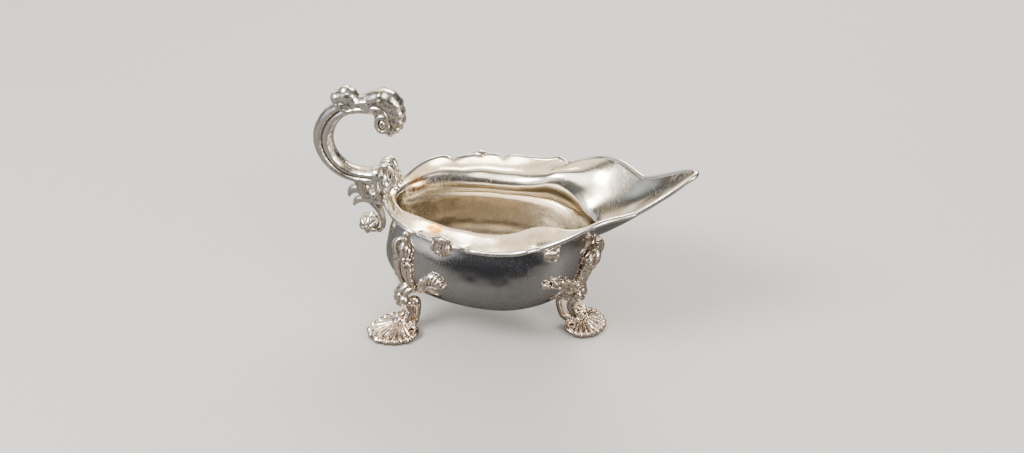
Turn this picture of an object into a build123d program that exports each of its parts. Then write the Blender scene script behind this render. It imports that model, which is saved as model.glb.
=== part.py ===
from build123d import *
# Raised silver sauce boat on three cast shell feet, with a flying scroll handle. Millimetres, +Z up, +X to the lip.
# The origin is on the ground under the middle of the overall length, in the boat's plane of symmetry.
import math
import os
import numpy as np

# ---- driving dimensions, millimetres ----
CENTRE_X = -8.0          # polar centre of the bowl in plan
WALL = 1.3               # sheet thickness of the raised bowl
RIM_WIRE_R = 1.6         # radius of the wire soldered round the edge
# Rim of the bowl from the lip (y = 0) round one side to the handle (y = 0): x, half width, height.
# A new list starts at every cusp of the shaped edge.
RIM = [
    [(93.2, 0, 102.9), (92.4, 2.19, 102.59), (90, 4.16, 101.47), (86, 6.82, 98.83), (80, 10.04, 94.67), (74, 12.77, 90.72), (69, 15.12, 87.77), (66, 16.88, 86.24)],
    [(66, 16.88, 86.24), (62, 20.24, 86.44), (56, 25.42, 87.07), (50, 30.24, 86.52), (44, 34.29, 84.39), (38, 37.14, 81.28), (32, 39, 78.06), (26, 39.87, 74.96), (22.5, 39.8, 72.9)],
    [(22.5, 39.8, 72.9), (20, 42.3, 74.2), (17, 44.4, 74.3)],
    [(17, 44.4, 74.3), (12, 44.5, 72.3), (6, 45.1, 71.4), (0, 45.8, 71.2), (-7, 46, 71.3), (-11, 45.3, 70.9), (-13.6, 43.7, 69.6)],
    [(-13.6, 43.7, 69.6), (-17, 44.6, 71), (-24, 43.3, 71.6), (-32, 40.6, 71.4), (-37, 38.2, 70.9), (-40.5, 35.6, 69.5)],
    [(-40.5, 35.6, 69.5), (-43, 36.3, 71.2), (-48, 34.2, 72.3), (-53, 29.6, 72.3), (-58, 23.06, 71.1), (-61, 17.48, 69.3), (-62.3, 13.8, 67.3)],
    [(-62.3, 13.8, 67.3), (-64.6, 10.96, 68.5), (-66.4, 5.86, 69.5), (-67, 0, 69.9)],
]
# Level loops of the bowl below the rim: front semi-axis, rear semi-axis, half width, height at the side, height at the front.
LEVELS = [
    (26.5, 34.0, 15.5, 18.5, 18.5),   # edge of the flat bottom
    (33.0, 45.0, 23.5, 21.0, 21.8),
    (39.8, 54.0, 30.5, 26.5, 27.2),
    (45.2, 59.0, 33.8, 34.5, 35.5),   # widest level of the belly
    (48.0, 58.0, 32.4, 44.0, 44.5),
    (50.0, 55.5, 28.4, 54.0, 54.5),
    (54.6, 53.0, 24.6, 62.0, 64.0),   # neck
]
# Flange from neck to rim: share of the way out, share of the rise at the sides, share of the rise along the spout, share of the edge's cusps.
FLANGE = [(0.05, 0.62, 0.04, 0.0), (0.17, 0.87, 0.13, 0.0), (0.50, 0.95, 0.42, 0.05), (0.82, 0.98, 0.79, 0.35), (1.0, 1.0, 1.0, 1.0)]
SPOUT_FROM, SPOUT_TO = 50.0, 14.0   # polar degrees over which the flange turns into the spout


def spline(knots, values, query):
    """Natural cubic spline through values at knots, for values of any width."""
    k, v, q = np.asarray(knots, float), np.asarray(values, float), np.asarray(query, float)
    v = v.reshape(len(k), -1)
    n, h = len(k), np.diff(k)
    if n == 2:
        t = ((q - k[0]) / h[0])[:, None]
        return v[0] * (1 - t) + v[1] * t
    a = np.zeros((n, n)); b = np.zeros_like(v)
    a[0, 0] = a[-1, -1] = 1
    for i in range(1, n - 1):
        a[i, i - 1], a[i, i], a[i, i + 1] = h[i - 1], 2 * (h[i - 1] + h[i]), h[i]
        b[i] = 6 * ((v[i + 1] - v[i]) / h[i] - (v[i] - v[i - 1]) / h[i - 1])
    m = np.linalg.solve(a, b)
    i = np.clip(np.searchsorted(k, q, side="right") - 1, 0, n - 2)
    hi, x0, x1 = h[i][:, None], (q - k[i])[:, None], (k[i + 1] - q)[:, None]
    return (m[i] * x1 ** 3 + m[i + 1] * x0 ** 3) / (6 * hi) + (v[i] / hi - m[i] * hi / 6) * x1 + (v[i + 1] / hi - m[i + 1] * hi / 6) * x0


def chord(p):
    return np.concatenate([[0], np.cumsum(np.linalg.norm(np.diff(np.asarray(p, float), axis=0), axis=1))])


def rim_half(step):
    """Rim points from the lip to the handle on the +Y side, about step apart, every cusp included."""
    out = []
    for k, seg in enumerate(RIM):
        p = np.array(seg, float)
        full = p
        if k == 0:
            full = np.vstack([(p * [1, -1, 1])[1:][::-1], p])
        if k == len(RIM) - 1:
            full = np.vstack([p, (p * [1, -1, 1])[:-1][::-1]])
        c = chord(full)
        lo, hi = (c[len(full) - len(p)], c[-1]) if k == 0 else (c[0], c[len(p) - 1])
        n = max(2, int(round((hi - lo) / step)) + 1)
        pts = spline(c, full, np.linspace(lo, hi, n))
        if k == 0:
            pts[0, 1] = 0
        if k == len(RIM) - 1:
            pts[-1, 1] = 0
        out.append(pts if k == 0 else pts[1:])
    return np.vstack(out)


def loop_radius(level, th):
    c, s = math.cos(th), math.sin(th)
    return 1 / math.sqrt((c / (level[0] if c > 0 else level[1])) ** 2 + (s / level[2]) ** 2)


def soft_rim():
    """Rim radius and height against polar angle with the cusps evened out, for the flange further in."""
    p = rim_half(0.5)
    th = np.degrees(np.arctan2(np.abs(p[:, 1]), p[:, 0] - CENTRE_X))
    q = np.arange(0, 181, 1.0)
    r, z = np.interp(q, th, np.hypot(p[:, 0] - CENTRE_X, p[:, 1])), np.interp(q, th, p[:, 2])
    out = []
    for i, d in enumerate(q):
        w = np.exp(-((q - d) / np.interp(d, [8, 25, 45], [0.8, 4.0, 11.0])) ** 2)
        m = np.exp(-((q + d) / np.interp(d, [8, 25, 45], [0.8, 4.0, 11.0])) ** 2) + np.exp(-((360 - q - d) / 11.0) ** 2)
        out.append(((r * (w + m)).sum() / (w + m).sum(), (z * (w + m)).sum() / (w + m).sum()))
    return q, np.array(out)


SOFT_TH, SOFT = soft_rim()


def section_knots(rim_point):
    """(r, z) of the outer surface's controlling points on the ray through a rim point, from the flat bottom to the rim."""
    dx, dy = rim_point[0] - CENTRE_X, abs(rim_point[1])
    th, big_r, big_z = math.atan2(dy, dx), math.hypot(dx, dy), rim_point[2]
    front = max(0.0, math.cos(th)) ** 1.5
    knots = [(loop_radius(lv, th), lv[3] + (lv[4] - lv[3]) * front) for lv in LEVELS]
    d = math.degrees(th)
    u = min(1.0, max(0.0, (SPOUT_FROM - d) / (SPOUT_FROM - SPOUT_TO)))
    w = u * u * (3 - 2 * u)
    r0, z0 = knots[-1]
    soft_r, soft_z = np.interp(d, SOFT_TH, SOFT[:, 0]), np.interp(d, SOFT_TH, SOFT[:, 1])
    for f, side, spout, c in FLANGE:
        er, ez = soft_r + (big_r - soft_r) * c, soft_z + (big_z - soft_z) * c
        knots.append((r0 + (er - r0) * f, z0 + (ez - z0) * (side * (1 - w) + spout * w)))
    return np.array(knots)


def section(rim_point, n, offset=0.0):
    """n points (r, z) along the section, moved out from the outer surface by offset within the section's own plane. The first stays level with the flat bottom."""
    k = section_knots(rim_point)
    c = chord(k)
    fine = spline(c, k, np.linspace(0, c[-1], 400))
    cf = chord(fine)
    q = np.linspace(0, cf[-1], n)
    p = np.stack([np.interp(q, cf, fine[:, 0]), np.interp(q, cf, fine[:, 1])], 1)
    t = np.stack([np.interp(q, cf, np.gradient(fine[:, 0])), np.interp(q, cf, np.gradient(fine[:, 1]))], 1)
    t /= np.linalg.norm(t, axis=1)[:, None]
    normal = np.stack([t[:, 1], -t[:, 0]], 1)   # outward and down
    p = p + normal * offset
    if offset:
        p[0] = [k[0][0], k[0][1] - offset]
    return p, t


def bowl_grid(rim, n, offset=0.0):
    out = []
    for rp in rim:
        th = math.atan2(abs(rp[1]), rp[0] - CENTRE_X)
        if rp[1] == 0:
            th = 0.0 if rp[0] > 0 else math.pi
        p, _ = section(rp, n, offset)
        y = p[:, 0] * math.sin(th)
        if rp[1] == 0:
            y = y * 0
        out.append(np.stack([CENTRE_X + p[:, 0] * math.cos(th), y, p[:, 1]], 1))
    return np.array(out)


# ---- surface of the bowl as a lookup, so castings can be laid on it ----
RIM_FINE = rim_half(0.5)
RIM_TH = np.degrees(np.arctan2(np.abs(RIM_FINE[:, 1]), RIM_FINE[:, 0] - CENTRE_X))
RIM_RAD = np.hypot(RIM_FINE[:, 0] - CENTRE_X, RIM_FINE[:, 1])
SURF_TH = np.arange(0, 181, 2.0)
SURF_Z = np.linspace(17.5, 66, 120)


def rim_at(th):
    r, z = np.interp(th, RIM_TH, RIM_RAD), np.interp(th, RIM_TH, RIM_FINE[:, 2])
    return (CENTRE_X + r * math.cos(math.radians(th)), r * math.sin(math.radians(th)), z)


def surf_table():
    out = []
    for th in SURF_TH:
        p, _ = section(rim_at(th), 300)
        keep = p[:, 1] <= 67
        last = np.argmax(~keep) if (~keep).any() else len(p)
        p = p[:last]
        out.append(np.interp(SURF_Z, p[:, 1], p[:, 0]))
    return np.array(out)


SURF_R = surf_table()


def surf(th, z):
    """Points on the outside of the bowl at signed polar angle th (degrees, minus = -Y side) and height z."""
    th, z = np.broadcast_arrays(np.asarray(th, float), np.asarray(z, float))
    fold = np.abs((th + 180) % 360 - 180)
    i = np.clip(fold / 2.0, 0, len(SURF_TH) - 1.0001); i0 = i.astype(int); fi = i - i0
    j = np.clip((z - SURF_Z[0]) / (SURF_Z[1] - SURF_Z[0]), 0, len(SURF_Z) - 1.0001); j0 = j.astype(int); fj = j - j0
    r = (SURF_R[i0, j0] * (1 - fi) + SURF_R[i0 + 1, j0] * fi) * (1 - fj) + (SURF_R[i0, j0 + 1] * (1 - fi) + SURF_R[i0 + 1, j0 + 1] * fi) * fj
    a = np.radians(th)
    return np.stack([CENTRE_X + r * np.cos(a), r * np.sin(a), z], -1)


def surf_normal(th, z):
    a = surf(np.asarray(th) + 2.5, z) - surf(np.asarray(th) - 2.5, z)
    b = surf(th, np.asarray(z) + 1.0) - surf(th, np.asarray(z) - 1.0)
    n = np.cross(a, b)
    return n / np.linalg.norm(n, axis=-1)[..., None]


def bowl_low_z(x, y):
    """Height of the underside of the belly above a ground point."""
    th, r = math.degrees(math.atan2(y, x - CENTRE_X)), math.hypot(x - CENTRE_X, y)
    zz = np.linspace(18.5, 34, 60)
    rr = np.hypot(surf(th, zz)[:, 0] - CENTRE_X, surf(th, zz)[:, 1])
    return float(np.interp(r, rr, zz))


def bump(x, c, w):
    return np.exp(-((x - c) / w) ** 2)


# ---- legs: place on the ground, heading, reach of the shell pad ahead of its apex ----
LEGS = {
    "front": (33.0, 0.0, 0.0, 13.0),
    "rear_near": (-51.0, -22.3, -147.0, 17.6),
    "rear_far": (-51.0, 22.3, 147.0, 17.6),
}
PAD_APEX = 4.0           # apex of the fan ahead of the leg's axis
PAD_HALF = 12.3          # half width of the pad
PAD_TOP = 6.2
GAP = 0.12               # solder line between a casting and the bowl
# Centre line of each knee cartouche on the bowl: polar angle, height.
KNEES = {
    "front": [(0, 28.6), (0, 33.4), (0, 39.8), (0, 47), (0, 54.4)],
    "rear_near": [(-150.5, 28.8), (-151.5, 34), (-153.5, 40.5), (-156.5, 48), (-159, 54.8)],
    "rear_far": [(150.5, 28.8), (151.5, 34), (153.5, 40.5), (156.5, 48), (159, 54.8)],
}


def leg_frame(leg):
    x, y, h, s = LEGS[leg]
    d = np.array([math.cos(math.radians(h)), math.sin(math.radians(h)), 0])
    return np.array([x, y, 0.0]), d, np.array([-d[1], d[0], 0.0]), s


def tube(path, a, b, side, rings, m, shape=None, flat_start=None, flat_end=None):
    """Rings along a curve lying in the plane whose normal is side. a, b: half sizes in that plane and across it, given at the path points."""
    p = np.asarray(path, float)
    c = chord(p)
    q = np.linspace(0, c[-1], rings)
    pts = spline(c, p, q)
    aa, bb = np.interp(q, c, a), np.interp(q, c, b)
    t = np.gradient(spline(c, p, np.linspace(0, c[-1], rings * 8)), axis=0)[::8][:rings]
    t = np.gradient(pts, axis=0) if len(t) != rings else t
    t[-1] = pts[-1] - spline(c, p, [c[-1] * 0.995])[0]
    if flat_start is not None:
        t[0] = flat_start
    if flat_end is not None:
        t[-1] = flat_end
    t /= np.linalg.norm(t, axis=1)[:, None]
    side = np.asarray(side, float)
    n = np.cross(side, t)
    n /= np.linalg.norm(n, axis=1)[:, None]
    ph = np.arange(m) * 2 * math.pi / m
    out = np.empty((rings, m, 3))
    for i in range(rings):
        f = np.ones(m) if shape is None else shape(ph, q[i] / c[-1])
        out[i] = pts[i] + np.outer(aa[i] * np.cos(ph) * f, n[i]) + np.outer(bb[i] * np.sin(ph) * f, side)
    return out


def stack(base, axis, across, levels, m, shape=None):
    """Rings square to an axis. levels: height, half size across, half size the other way, shift across."""
    base, axis, across = (np.asarray(v, float) for v in (base, axis, across))
    other = np.cross(axis, across)
    ph = np.arange(m) * 2 * math.pi / m
    out = []
    for k, (h, a, b, s) in enumerate(levels):
        f = np.ones(m) if shape is None else shape(ph, k / (len(levels) - 1))
        out.append(base + axis * h + np.outer(s + a * np.cos(ph) * f, across) + np.outer(b * np.sin(ph) * f, other))
    return np.array(out)


def groove(depth, width):
    return lambda ph, t: 1 - depth * (np.exp(-(np.cos(ph) / width) ** 2))


# ---- handle: all in the upright middle plane ----
HANDLE = [(-69.3, 0, 80.4), (-76.6, 0, 79.2), (-83.5, 0, 79.6), (-90.2, 0, 82.6), (-95.2, 0, 88.2), (-97.8, 0, 95.2), (-97.6, 0, 102.4), (-94.9, 0, 109.2), (-90.4, 0, 115.0), (-84.4, 0, 118.9), (-77.9, 0, 120.9), (-72.4, 0, 121.9)]
HANDLE_A = [3.9, 4.0, 4.2, 4.7, 5.1, 5.3, 5.2, 4.9, 4.5, 4.15, 4.7, 5.4]
HANDLE_B = [4.6, 4.3, 4.2, 4.3, 4.4, 4.4, 4.4, 4.4, 4.3, 4.2, 4.4, 4.8]
VOLUTE = [(-72.22, 0, 121.98), (-67.6, 0, 125.0), (-62.6, 0, 124.9), (-59.9, 0, 120.6), (-59.8, 0, 114.6), (-62.8, 0, 110.0), (-66.9, 0, 110.2), (-67.6, 0, 113.6)]
VOLUTE_A = [5.4, 5.6, 5.9, 5.2, 5.0, 4.3, 2.9, 1.6]
VOLUTE_B = [4.8, 5.5, 6.2, 6.0, 5.6, 5.0, 4.0, 2.6]
SIDE = (0, 1, 0)


def handle_pieces(q, m):
    g = groove(0.24, 0.30)
    out = {
        "handle_scroll": tube(HANDLE, HANDLE_A, HANDLE_B, SIDE, 26 * q, m, g),
        "handle_volute": tube(VOLUTE, VOLUTE_A, VOLUTE_B, SIDE, 20 * q, m, lambda ph, t: 1 - 0.16 * np.exp(-(np.cos(ph) / 0.3) ** 2) * (1 - t), flat_start=(5.5, 0, 1.0)),
    }
    # knot of leaves on top of the scroll
    n = np.array([-0.40, 0, 0.9165]); t = np.array([0.9165, 0, 0.40])
    lobes = lambda ph, k: 1 + 0.10 * np.cos(2 * ph) + 0.10 * np.cos(3 * ph + 0.6)
    out["handle_knot"] = stack(np.array([-83.6, 0, 119.2]) + n * 4.45, n, t, [(0, 2.6, 2.2, 0), (0.9, 4.6, 3.6, 0.2), (2.6, 6.3, 4.6, 0.6), (4.4, 6.0, 4.4, 1.0), (6.0, 4.2, 3.2, 1.6), (7.0, 1.6, 1.3, 2.0)], m, lobes)
    # upright leaf where the handle meets the edge
    out["handle_leaf"] = stack((-63.6, 0, 73.6), (0, 0, 1), (1, 0, 0), [(0, 4.6, 4.0, 0.4), (2.6, 5.0, 5.4, 0.3), (6.5, 4.7, 6.0, 0.0), (10.5, 4.1, 5.4, -0.6), (13.4, 2.9, 3.6, -0.7), (15.2, 1.7, 2.0, -0.4), (16.1, 0.6, 0.7, -0.2)], m, lambda ph, t: 1 - 0.16 * np.exp(-(np.cos(ph * 1.0) / 0.35) ** 2) * math.sin(math.pi * min(1, t + 0.2)))
    # drop of the handle below the scroll, with two thorns and a rosette
    out["handle_drop"] = tube([(-79.9, 0, 74.6), (-79.1, 0, 70.6), (-76.2, 0, 66.2), (-72.6, 0, 61.9), (-69.9, 0, 57.4), (-68.6, 0, 52.6), (-68.6, 0, 48.2), (-70.3, 0, 44.6)], [2.1, 2.2, 2.3, 2.1, 1.9, 1.8, 1.7, 1.0], [3.4, 3.3, 3.3, 3.2, 2.8, 2.4, 2.2, 1.4], SIDE, 20 * q, m, groove(0.15, 0.4), flat_start=(0.12, 0, -1))
    out["handle_neck"] = tube([(-70.6, 0, 75.5), (-70.5, 0, 72.2), (-69.9, 0, 68.6), (-67.6, 0, 65.0), (-63.6, 0, 62.7)], [2.0, 1.6, 1.5, 1.6, 2.0], [3.8, 3.4, 3.2, 3.4, 4.0], SIDE, 12 * q, m, flat_start=(0, 0, -1), flat_end=(1, 0, -0.15))
    out["handle_thorn_upper"] = tube([(-82.0, 0, 71.4), (-83.9, 0, 70.2), (-85.6, 0, 67.9), (-86.9, 0, 65.0)], [2.2, 2.0, 1.4, 0.35], [2.6, 2.3, 1.6, 0.4], SIDE, 9 * q, m)
    out["handle_thorn_lower"] = tube([(-79.6, 0, 65.0), (-81.4, 0, 64.3), (-83.0, 0, 62.4), (-84.2, 0, 59.6)], [1.5, 1.5, 1.1, 0.35], [2.4, 2.1, 1.5, 0.4], SIDE, 9 * q, m)
    out["handle_rosette"] = stack((-76.2, -5.0, 49.6), (0, 1, 0), (1, 0, 0), [(0, 1.5, 1.5, 0), (0.7, 3.4, 3.4, 0), (2.4, 4.9, 4.9, 0), (5.0, 5.4, 5.4, 0), (7.6, 4.9, 4.9, 0), (9.3, 3.4, 3.4, 0), (10.0, 1.5, 1.5, 0)], m, lambda ph, t: 1 + 0.05 * np.cos(6 * ph))
    return out


# ---- legs ----
LEG_PATH = [(0.95, 25.75), (2.0, 23.9), (2.7, 21.7), (2.4, 19.3), (0.7, 16.9), (-0.9, 14.3), (-1.2, 11.5), (0.0, 8.7), (1.0, 6.25)]
LEG_A = [2.9, 3.7, 4.2, 4.0, 3.4, 3.0, 3.0, 3.4, 3.9]
LEG_B = [3.6, 4.6, 5.1, 4.7, 3.8, 3.3, 3.2, 3.7, 4.4]
STRUT_PATH = [(-3.7, 17.9), (-5.2, 18.5), (-7.2, 17.2), (-8.0, 13.2), (-7.3, 9.0), (-6.1, 5.9), (-4.9, 3.9)]
STRUT_R = [1.2, 1.4, 1.5, 1.4, 1.3, 1.1, 0.9]


def pad_radius(deg, reach):
    d = abs((deg + 180) % 360 - 180)
    front = 1 / math.sqrt((math.cos(math.radians(min(d, 90))) / reach) ** 2 + (math.sin(math.radians(min(d, 90))) / PAD_HALF) ** 2)
    return front if d <= 90 else float(np.interp(d, [90, 105, 125, 150, 180], [PAD_HALF, 11.2, 8.6, 7.2, 7.0]))


def pad_rib(deg):
    fold = np.abs((deg + 180) % 360 - 180)
    return np.cos(np.radians(fold) * 360 / 24.0) * np.clip((112 - fold) / 14, 0, 1)


PAD_PROFILE = ((0.94, 0.0, 0), (1.0, 0.9, 0), (0.985, 2.3, 0.25), (0.90, 3.3, 0.5), (0.72, 3.9, 0.55), (0.50, 4.6, 0.45), (0.27, 5.5, 0.2), (0.0, PAD_TOP, 0))


def pad_rings(leg, m, profile=PAD_PROFILE):
    """Shell pad: flat below, ribs fanning from under the ankle, scalloped edge."""
    o, d, side, reach = leg_frame(leg)
    deg = np.arange(m) * 360.0 / m
    rib = pad_rib(deg)
    rad = np.array([pad_radius(v, reach) for v in deg]) * (1 + 0.035 * rib)
    core, a, rings = 2.2, np.radians(deg), []
    for f, z, rh in profile:   # share of the way out, height, rib height
        g = min(1.0, f / 0.9)
        r = rad * f if f >= 0.9 else core + (rad * 0.90 - core) * g
        c = PAD_APEX * g + 1.5 * (1 - g)
        rings.append(o + np.outer(r * np.cos(a) + c, d) + np.outer(r * np.sin(a), side) + np.outer(z + rh * rib, (0, 0, 1)))
    return np.array(rings)


def lift(leg, path):
    o, d, side, s = leg_frame(leg)
    return [o + d * u + np.array([0, 0, z]) for u, z in path], side


def leg_pieces(q, m):
    out = {}
    for leg in LEGS:
        path, side = lift(leg, LEG_PATH)
        o, d, sd, s = leg_frame(leg)
        n = -surf_normal(math.degrees(math.atan2(path[0][1], path[0][0] - CENTRE_X)), path[0][2])
        start = -n
        # slide the first points so the leg springs a hair off the belly
        zb = bowl_low_z(path[0][0], path[0][1])
        path[0] = path[0] + np.array([0, 0, min(0.0, zb - 0.75 - path[0][2])])
        out["leg_" + leg] = tube(path, LEG_A, LEG_B, side, 14 * q, m, lambda ph, t: 1 + (0.05 * np.cos(4 * ph) if t < 0.45 else 0 * ph), flat_start=d * 0.60 + np.array([0, 0, -0.80]), flat_end=(0, 0, -1))
        path, side = lift(leg, STRUT_PATH)
        out["leg_scroll_" + leg] = tube(path, STRUT_R, np.array(STRUT_R) * 1.25, side, 14 * q, m)
        out["foot_" + leg] = pad_rings(leg, max(m, 96))
    return out


def knee_relief(a, t, w):
    """Height of the knee cartouche above the bowl. a: across, mm. t: 0 at the knee, 1 at the tip of the leaf."""
    x = np.abs(a)
    ribs = 1.7 * bump(x, 3.6, 1.25) * np.clip((0.66 - t) / 0.08, 0, 1) * np.clip(t / 0.05 + 0.3, 0, 1)
    beads = 1.8 * bump(x, 2.6, 1.5) * bump(t, 0.67, 0.045) + 1.4 * bump(x, 5.4, 1.5) * bump(t, 0.60, 0.05) + 1.5 * bump(x, 1.5, 1.5) * bump(t, 0.04, 0.05)
    leaf = 2.3 * np.clip((t - 0.68) / 0.06, 0, 1) * np.clip(1 - (x / np.maximum(w, 0.5)) ** 2, 0, 1) ** 0.5 * (1 - 0.55 * bump(a, 0, 1.1))
    edge = 0.7 * bump(x, w - 0.8, 1.0)
    return 0.9 + ribs + beads + leaf + edge


def knee_width(t):
    return np.interp(t, [0, 0.08, 0.25, 0.45, 0.58, 0.66, 0.74, 0.84, 0.93, 1.0], [3.6, 5.4, 6.6, 6.9, 7.6, 6.8, 8.2, 7.4, 4.2, 0.9])


def laid(th, z, h):
    return surf(th, z) + surf_normal(th, z) * np.asarray(h)[..., None]


def degrees_per_mm(th, z):
    a = surf(th + 1, z) - surf(th - 1, z)
    return 2 / np.linalg.norm(a, axis=-1)


# Size of each knee cartouche against the plain pattern: across, and standing off the bowl.
KNEE_SIZE = {"front": (1.4, 1.5), "rear_near": (0.8, 1.0), "rear_far": (0.8, 1.0)}


def knee_grid(leg, rows, cols):
    wide, deep = KNEE_SIZE[leg]
    k = np.array(KNEES[leg], float)
    t = np.linspace(0, 1, rows)
    line = spline(chord(k * [0.8, 1]) / chord(k * [0.8, 1])[-1], k, t)
    v = np.linspace(-1, 1, cols)
    w = knee_width(t)[:, None]
    a = v[None] * w
    th0, z = line[:, :1], line[:, 1:] + 0 * a
    th = th0 + a * wide * degrees_per_mm(th0 + 0 * a, z)
    h = knee_relief(a, t[:, None] + 0 * a, w) * deep
    return laid(th, z, h), laid(th, z, GAP + 0 * a)


# Shell wings either side of each knee: centre line on the bowl (polar angle, height) from root to tip.
WINGS = {
    "front": [(16.0, 33.5), (22.5, 37.5), (29.5, 41.0), (35.5, 42.5), (41, 42.0)],
    "rear_inner": [(-139.5, 35.2), (-136.0, 37.2), (-132.0, 38.8), (-128.0, 38.8), (-124.0, 37.2)],
}


def wing_grid(line, flip, rows, cols):
    k = np.array(line, float) * [flip, 1]
    t = np.linspace(0, 1, rows)
    c = chord(k * [0.8, 1])
    line = spline(c / c[-1], k, t)
    v = np.linspace(-1, 1, cols)
    w = np.interp(t, [0, 0.12, 0.35, 0.6, 0.85, 1.0], [2.2, 3.9, 4.6, 4.0, 2.9, 1.2])[:, None] * (1 + 0.10 * np.cos(t[:, None] * 22))
    z = line[:, 1:] + v[None] * w
    th = line[:, :1] + 0 * z
    tt = t[:, None] + 0 * z
    vv = v[None] + 0 * z
    h = 1.0 + 1.5 * np.clip(1 - vv ** 2, 0, 1) ** 0.5 + 0.55 * np.cos(tt * 24 + 1.2 * vv) * (1 - 0.5 * np.abs(vv)) - 0.3 * bump(vv, 0.25, 0.2)
    h = h * np.clip(np.minimum(tt / 0.08 + 0.45, (1 - tt) / 0.10 + 0.4), 0, 1)
    return laid(th, z, np.maximum(h, 0.55)), laid(th, z, GAP + 0 * z)


def wing_pieces():
    return {
        "wing_front_near": (WINGS["front"], -1), "wing_front_far": (WINGS["front"], 1),
        "wing_rear_near": (WINGS["rear_inner"], 1), "wing_rear_far": (WINGS["rear_inner"], -1),
    }


# Castings hung under the edge wire: place along x on the rim, half length along the rim, drop, outward lean.
RIM_DROPS = {
    "rim_shell": (-26.5, 6.4, 5.0, 1.2, 3),
    "rim_leaf": (28.2, 5.0, 4.6, 0.6, 3),
    "rim_tab": (-46.5, 1.9, 4.6, 0.4, 1),
}


def rim_drop_grid(name, flip, rows, cols):
    x0, half, drop, lean, lobes = RIM_DROPS[name]
    c = chord(RIM_FINE)
    c0 = np.interp(-x0, -RIM_FINE[:, 0], c)
    v = np.linspace(-1, 1, cols)
    # soften the cusps of the rim under the casting
    u = c0 + v * half
    p = np.stack([np.interp(u, c, RIM_FINE[:, k]) for k in range(3)], 1)
    base = p.copy()
    for _ in range(12):
        base[1:-1] = (base[:-2] + base[2:]) / 2
    out = base - [CENTRE_X, 0, 0]; out[:, 2] = 0
    out /= np.linalg.norm(out, axis=1)[:, None]
    low = np.minimum(p[:, 2], base[:, 2])
    t = np.linspace(0, 1, rows)[:, None]
    edge = drop * (1 - 0.78 * np.abs(v) ** 2.4) * (1 + 0.06 * np.cos(v * math.pi * lobes))
    z = (low - RIM_WIRE_R * 2 - 0.15)[None] - t * edge[None]
    narrow = 1 - 0.16 * t
    mid = base[len(base) // 2]
    xy = mid[:2] + (base[None, :, :2] - mid[:2]) * narrow[..., None]
    rib = 0.45 * np.cos(v[None] * math.pi * lobes) * np.clip(t * 1.6, 0, 1)
    outer = -0.7 + lean * np.sin(t * math.pi * 0.8) + rib + 0.5 * np.clip(1 - v[None] ** 2, 0, 1) * np.sin(math.pi * np.clip(t + 0.15, 0, 1))
    inner = np.minimum(outer - 1.1, -2.0 + lean * np.sin(t * math.pi * 0.8))
    res = []
    for off in (outer, inner):
        g = np.empty((rows, cols, 3))
        g[:, :, :2] = xy + out[None, :, :2] * off[..., None]
        g[:, :, 2] = z
        g[:, :, 1] *= flip
        res.append(g)
    return res


# ---- solids ----
def curve(points, params=None):
    return Edge.make_spline([Vector(*map(float, p)) for p in points], parameters=params)


def params_of(points):
    c = chord(points)
    return [float(v) for v in c / c[-1]]


def line(a, b):
    return Edge.make_line(Vector(*map(float, a)), Vector(*map(float, b)))


def strips(grid, params=None):
    """Ruled faces between the rows of a grid, the rows being exact splines. Returns faces and the row edges."""
    rows = [curve(r, params) for r in grid]
    return [Face.make_surface_from_curves(a, b) for a, b in zip(rows, rows[1:])], rows


def closed(faces):
    s = Solid(Shell(faces))
    if s.volume < 0:
        s = Solid(s.wrapped.Reversed())
    return s


def half_params(ring):
    m = len(ring) // 2
    return m


def ring_solid(rings):
    """Closed solid through closed rings, flat at both ends."""
    rings = np.asarray(rings)
    m = rings.shape[1]
    h = m // 2
    big = rings[np.argmax([chord(r)[-1] for r in rings])]
    p1 = params_of(big[:h + 1]); p2 = params_of(np.vstack([big[h:], big[:1]]))
    faces, ends = [], []
    rows = []
    for r in rings:
        rows.append((curve(r[:h + 1], p1), curve(np.vstack([r[h:], r[:1]]), p2)))
    for a, b in zip(rows, rows[1:]):
        faces += [Face.make_surface_from_curves(a[0], b[0]), Face.make_surface_from_curves(a[1], b[1])]
    faces += [Face(Wire(list(rows[0]))), Face(Wire(list(rows[-1])))]
    return closed(faces)


def slab_solid(top, bottom):
    """Closed solid between two grids with the same rows and columns."""
    top, bottom = np.asarray(top), np.asarray(bottom)
    mid = top[len(top) // 2]
    p = params_of(mid)
    f1, r1 = strips(top, p)
    f2, r2 = strips(bottom, p)
    faces = f1 + f2
    for i in range(len(top) - 1):
        for j in (0, -1):
            faces.append(Face.make_surface_from_curves(line(top[i, j], top[i + 1, j]), line(bottom[i, j], bottom[i + 1, j])))
    faces += [Face.make_surface_from_curves(r1[0], r2[0]), Face.make_surface_from_curves(r1[-1], r2[-1])]
    return closed(faces)


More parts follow.
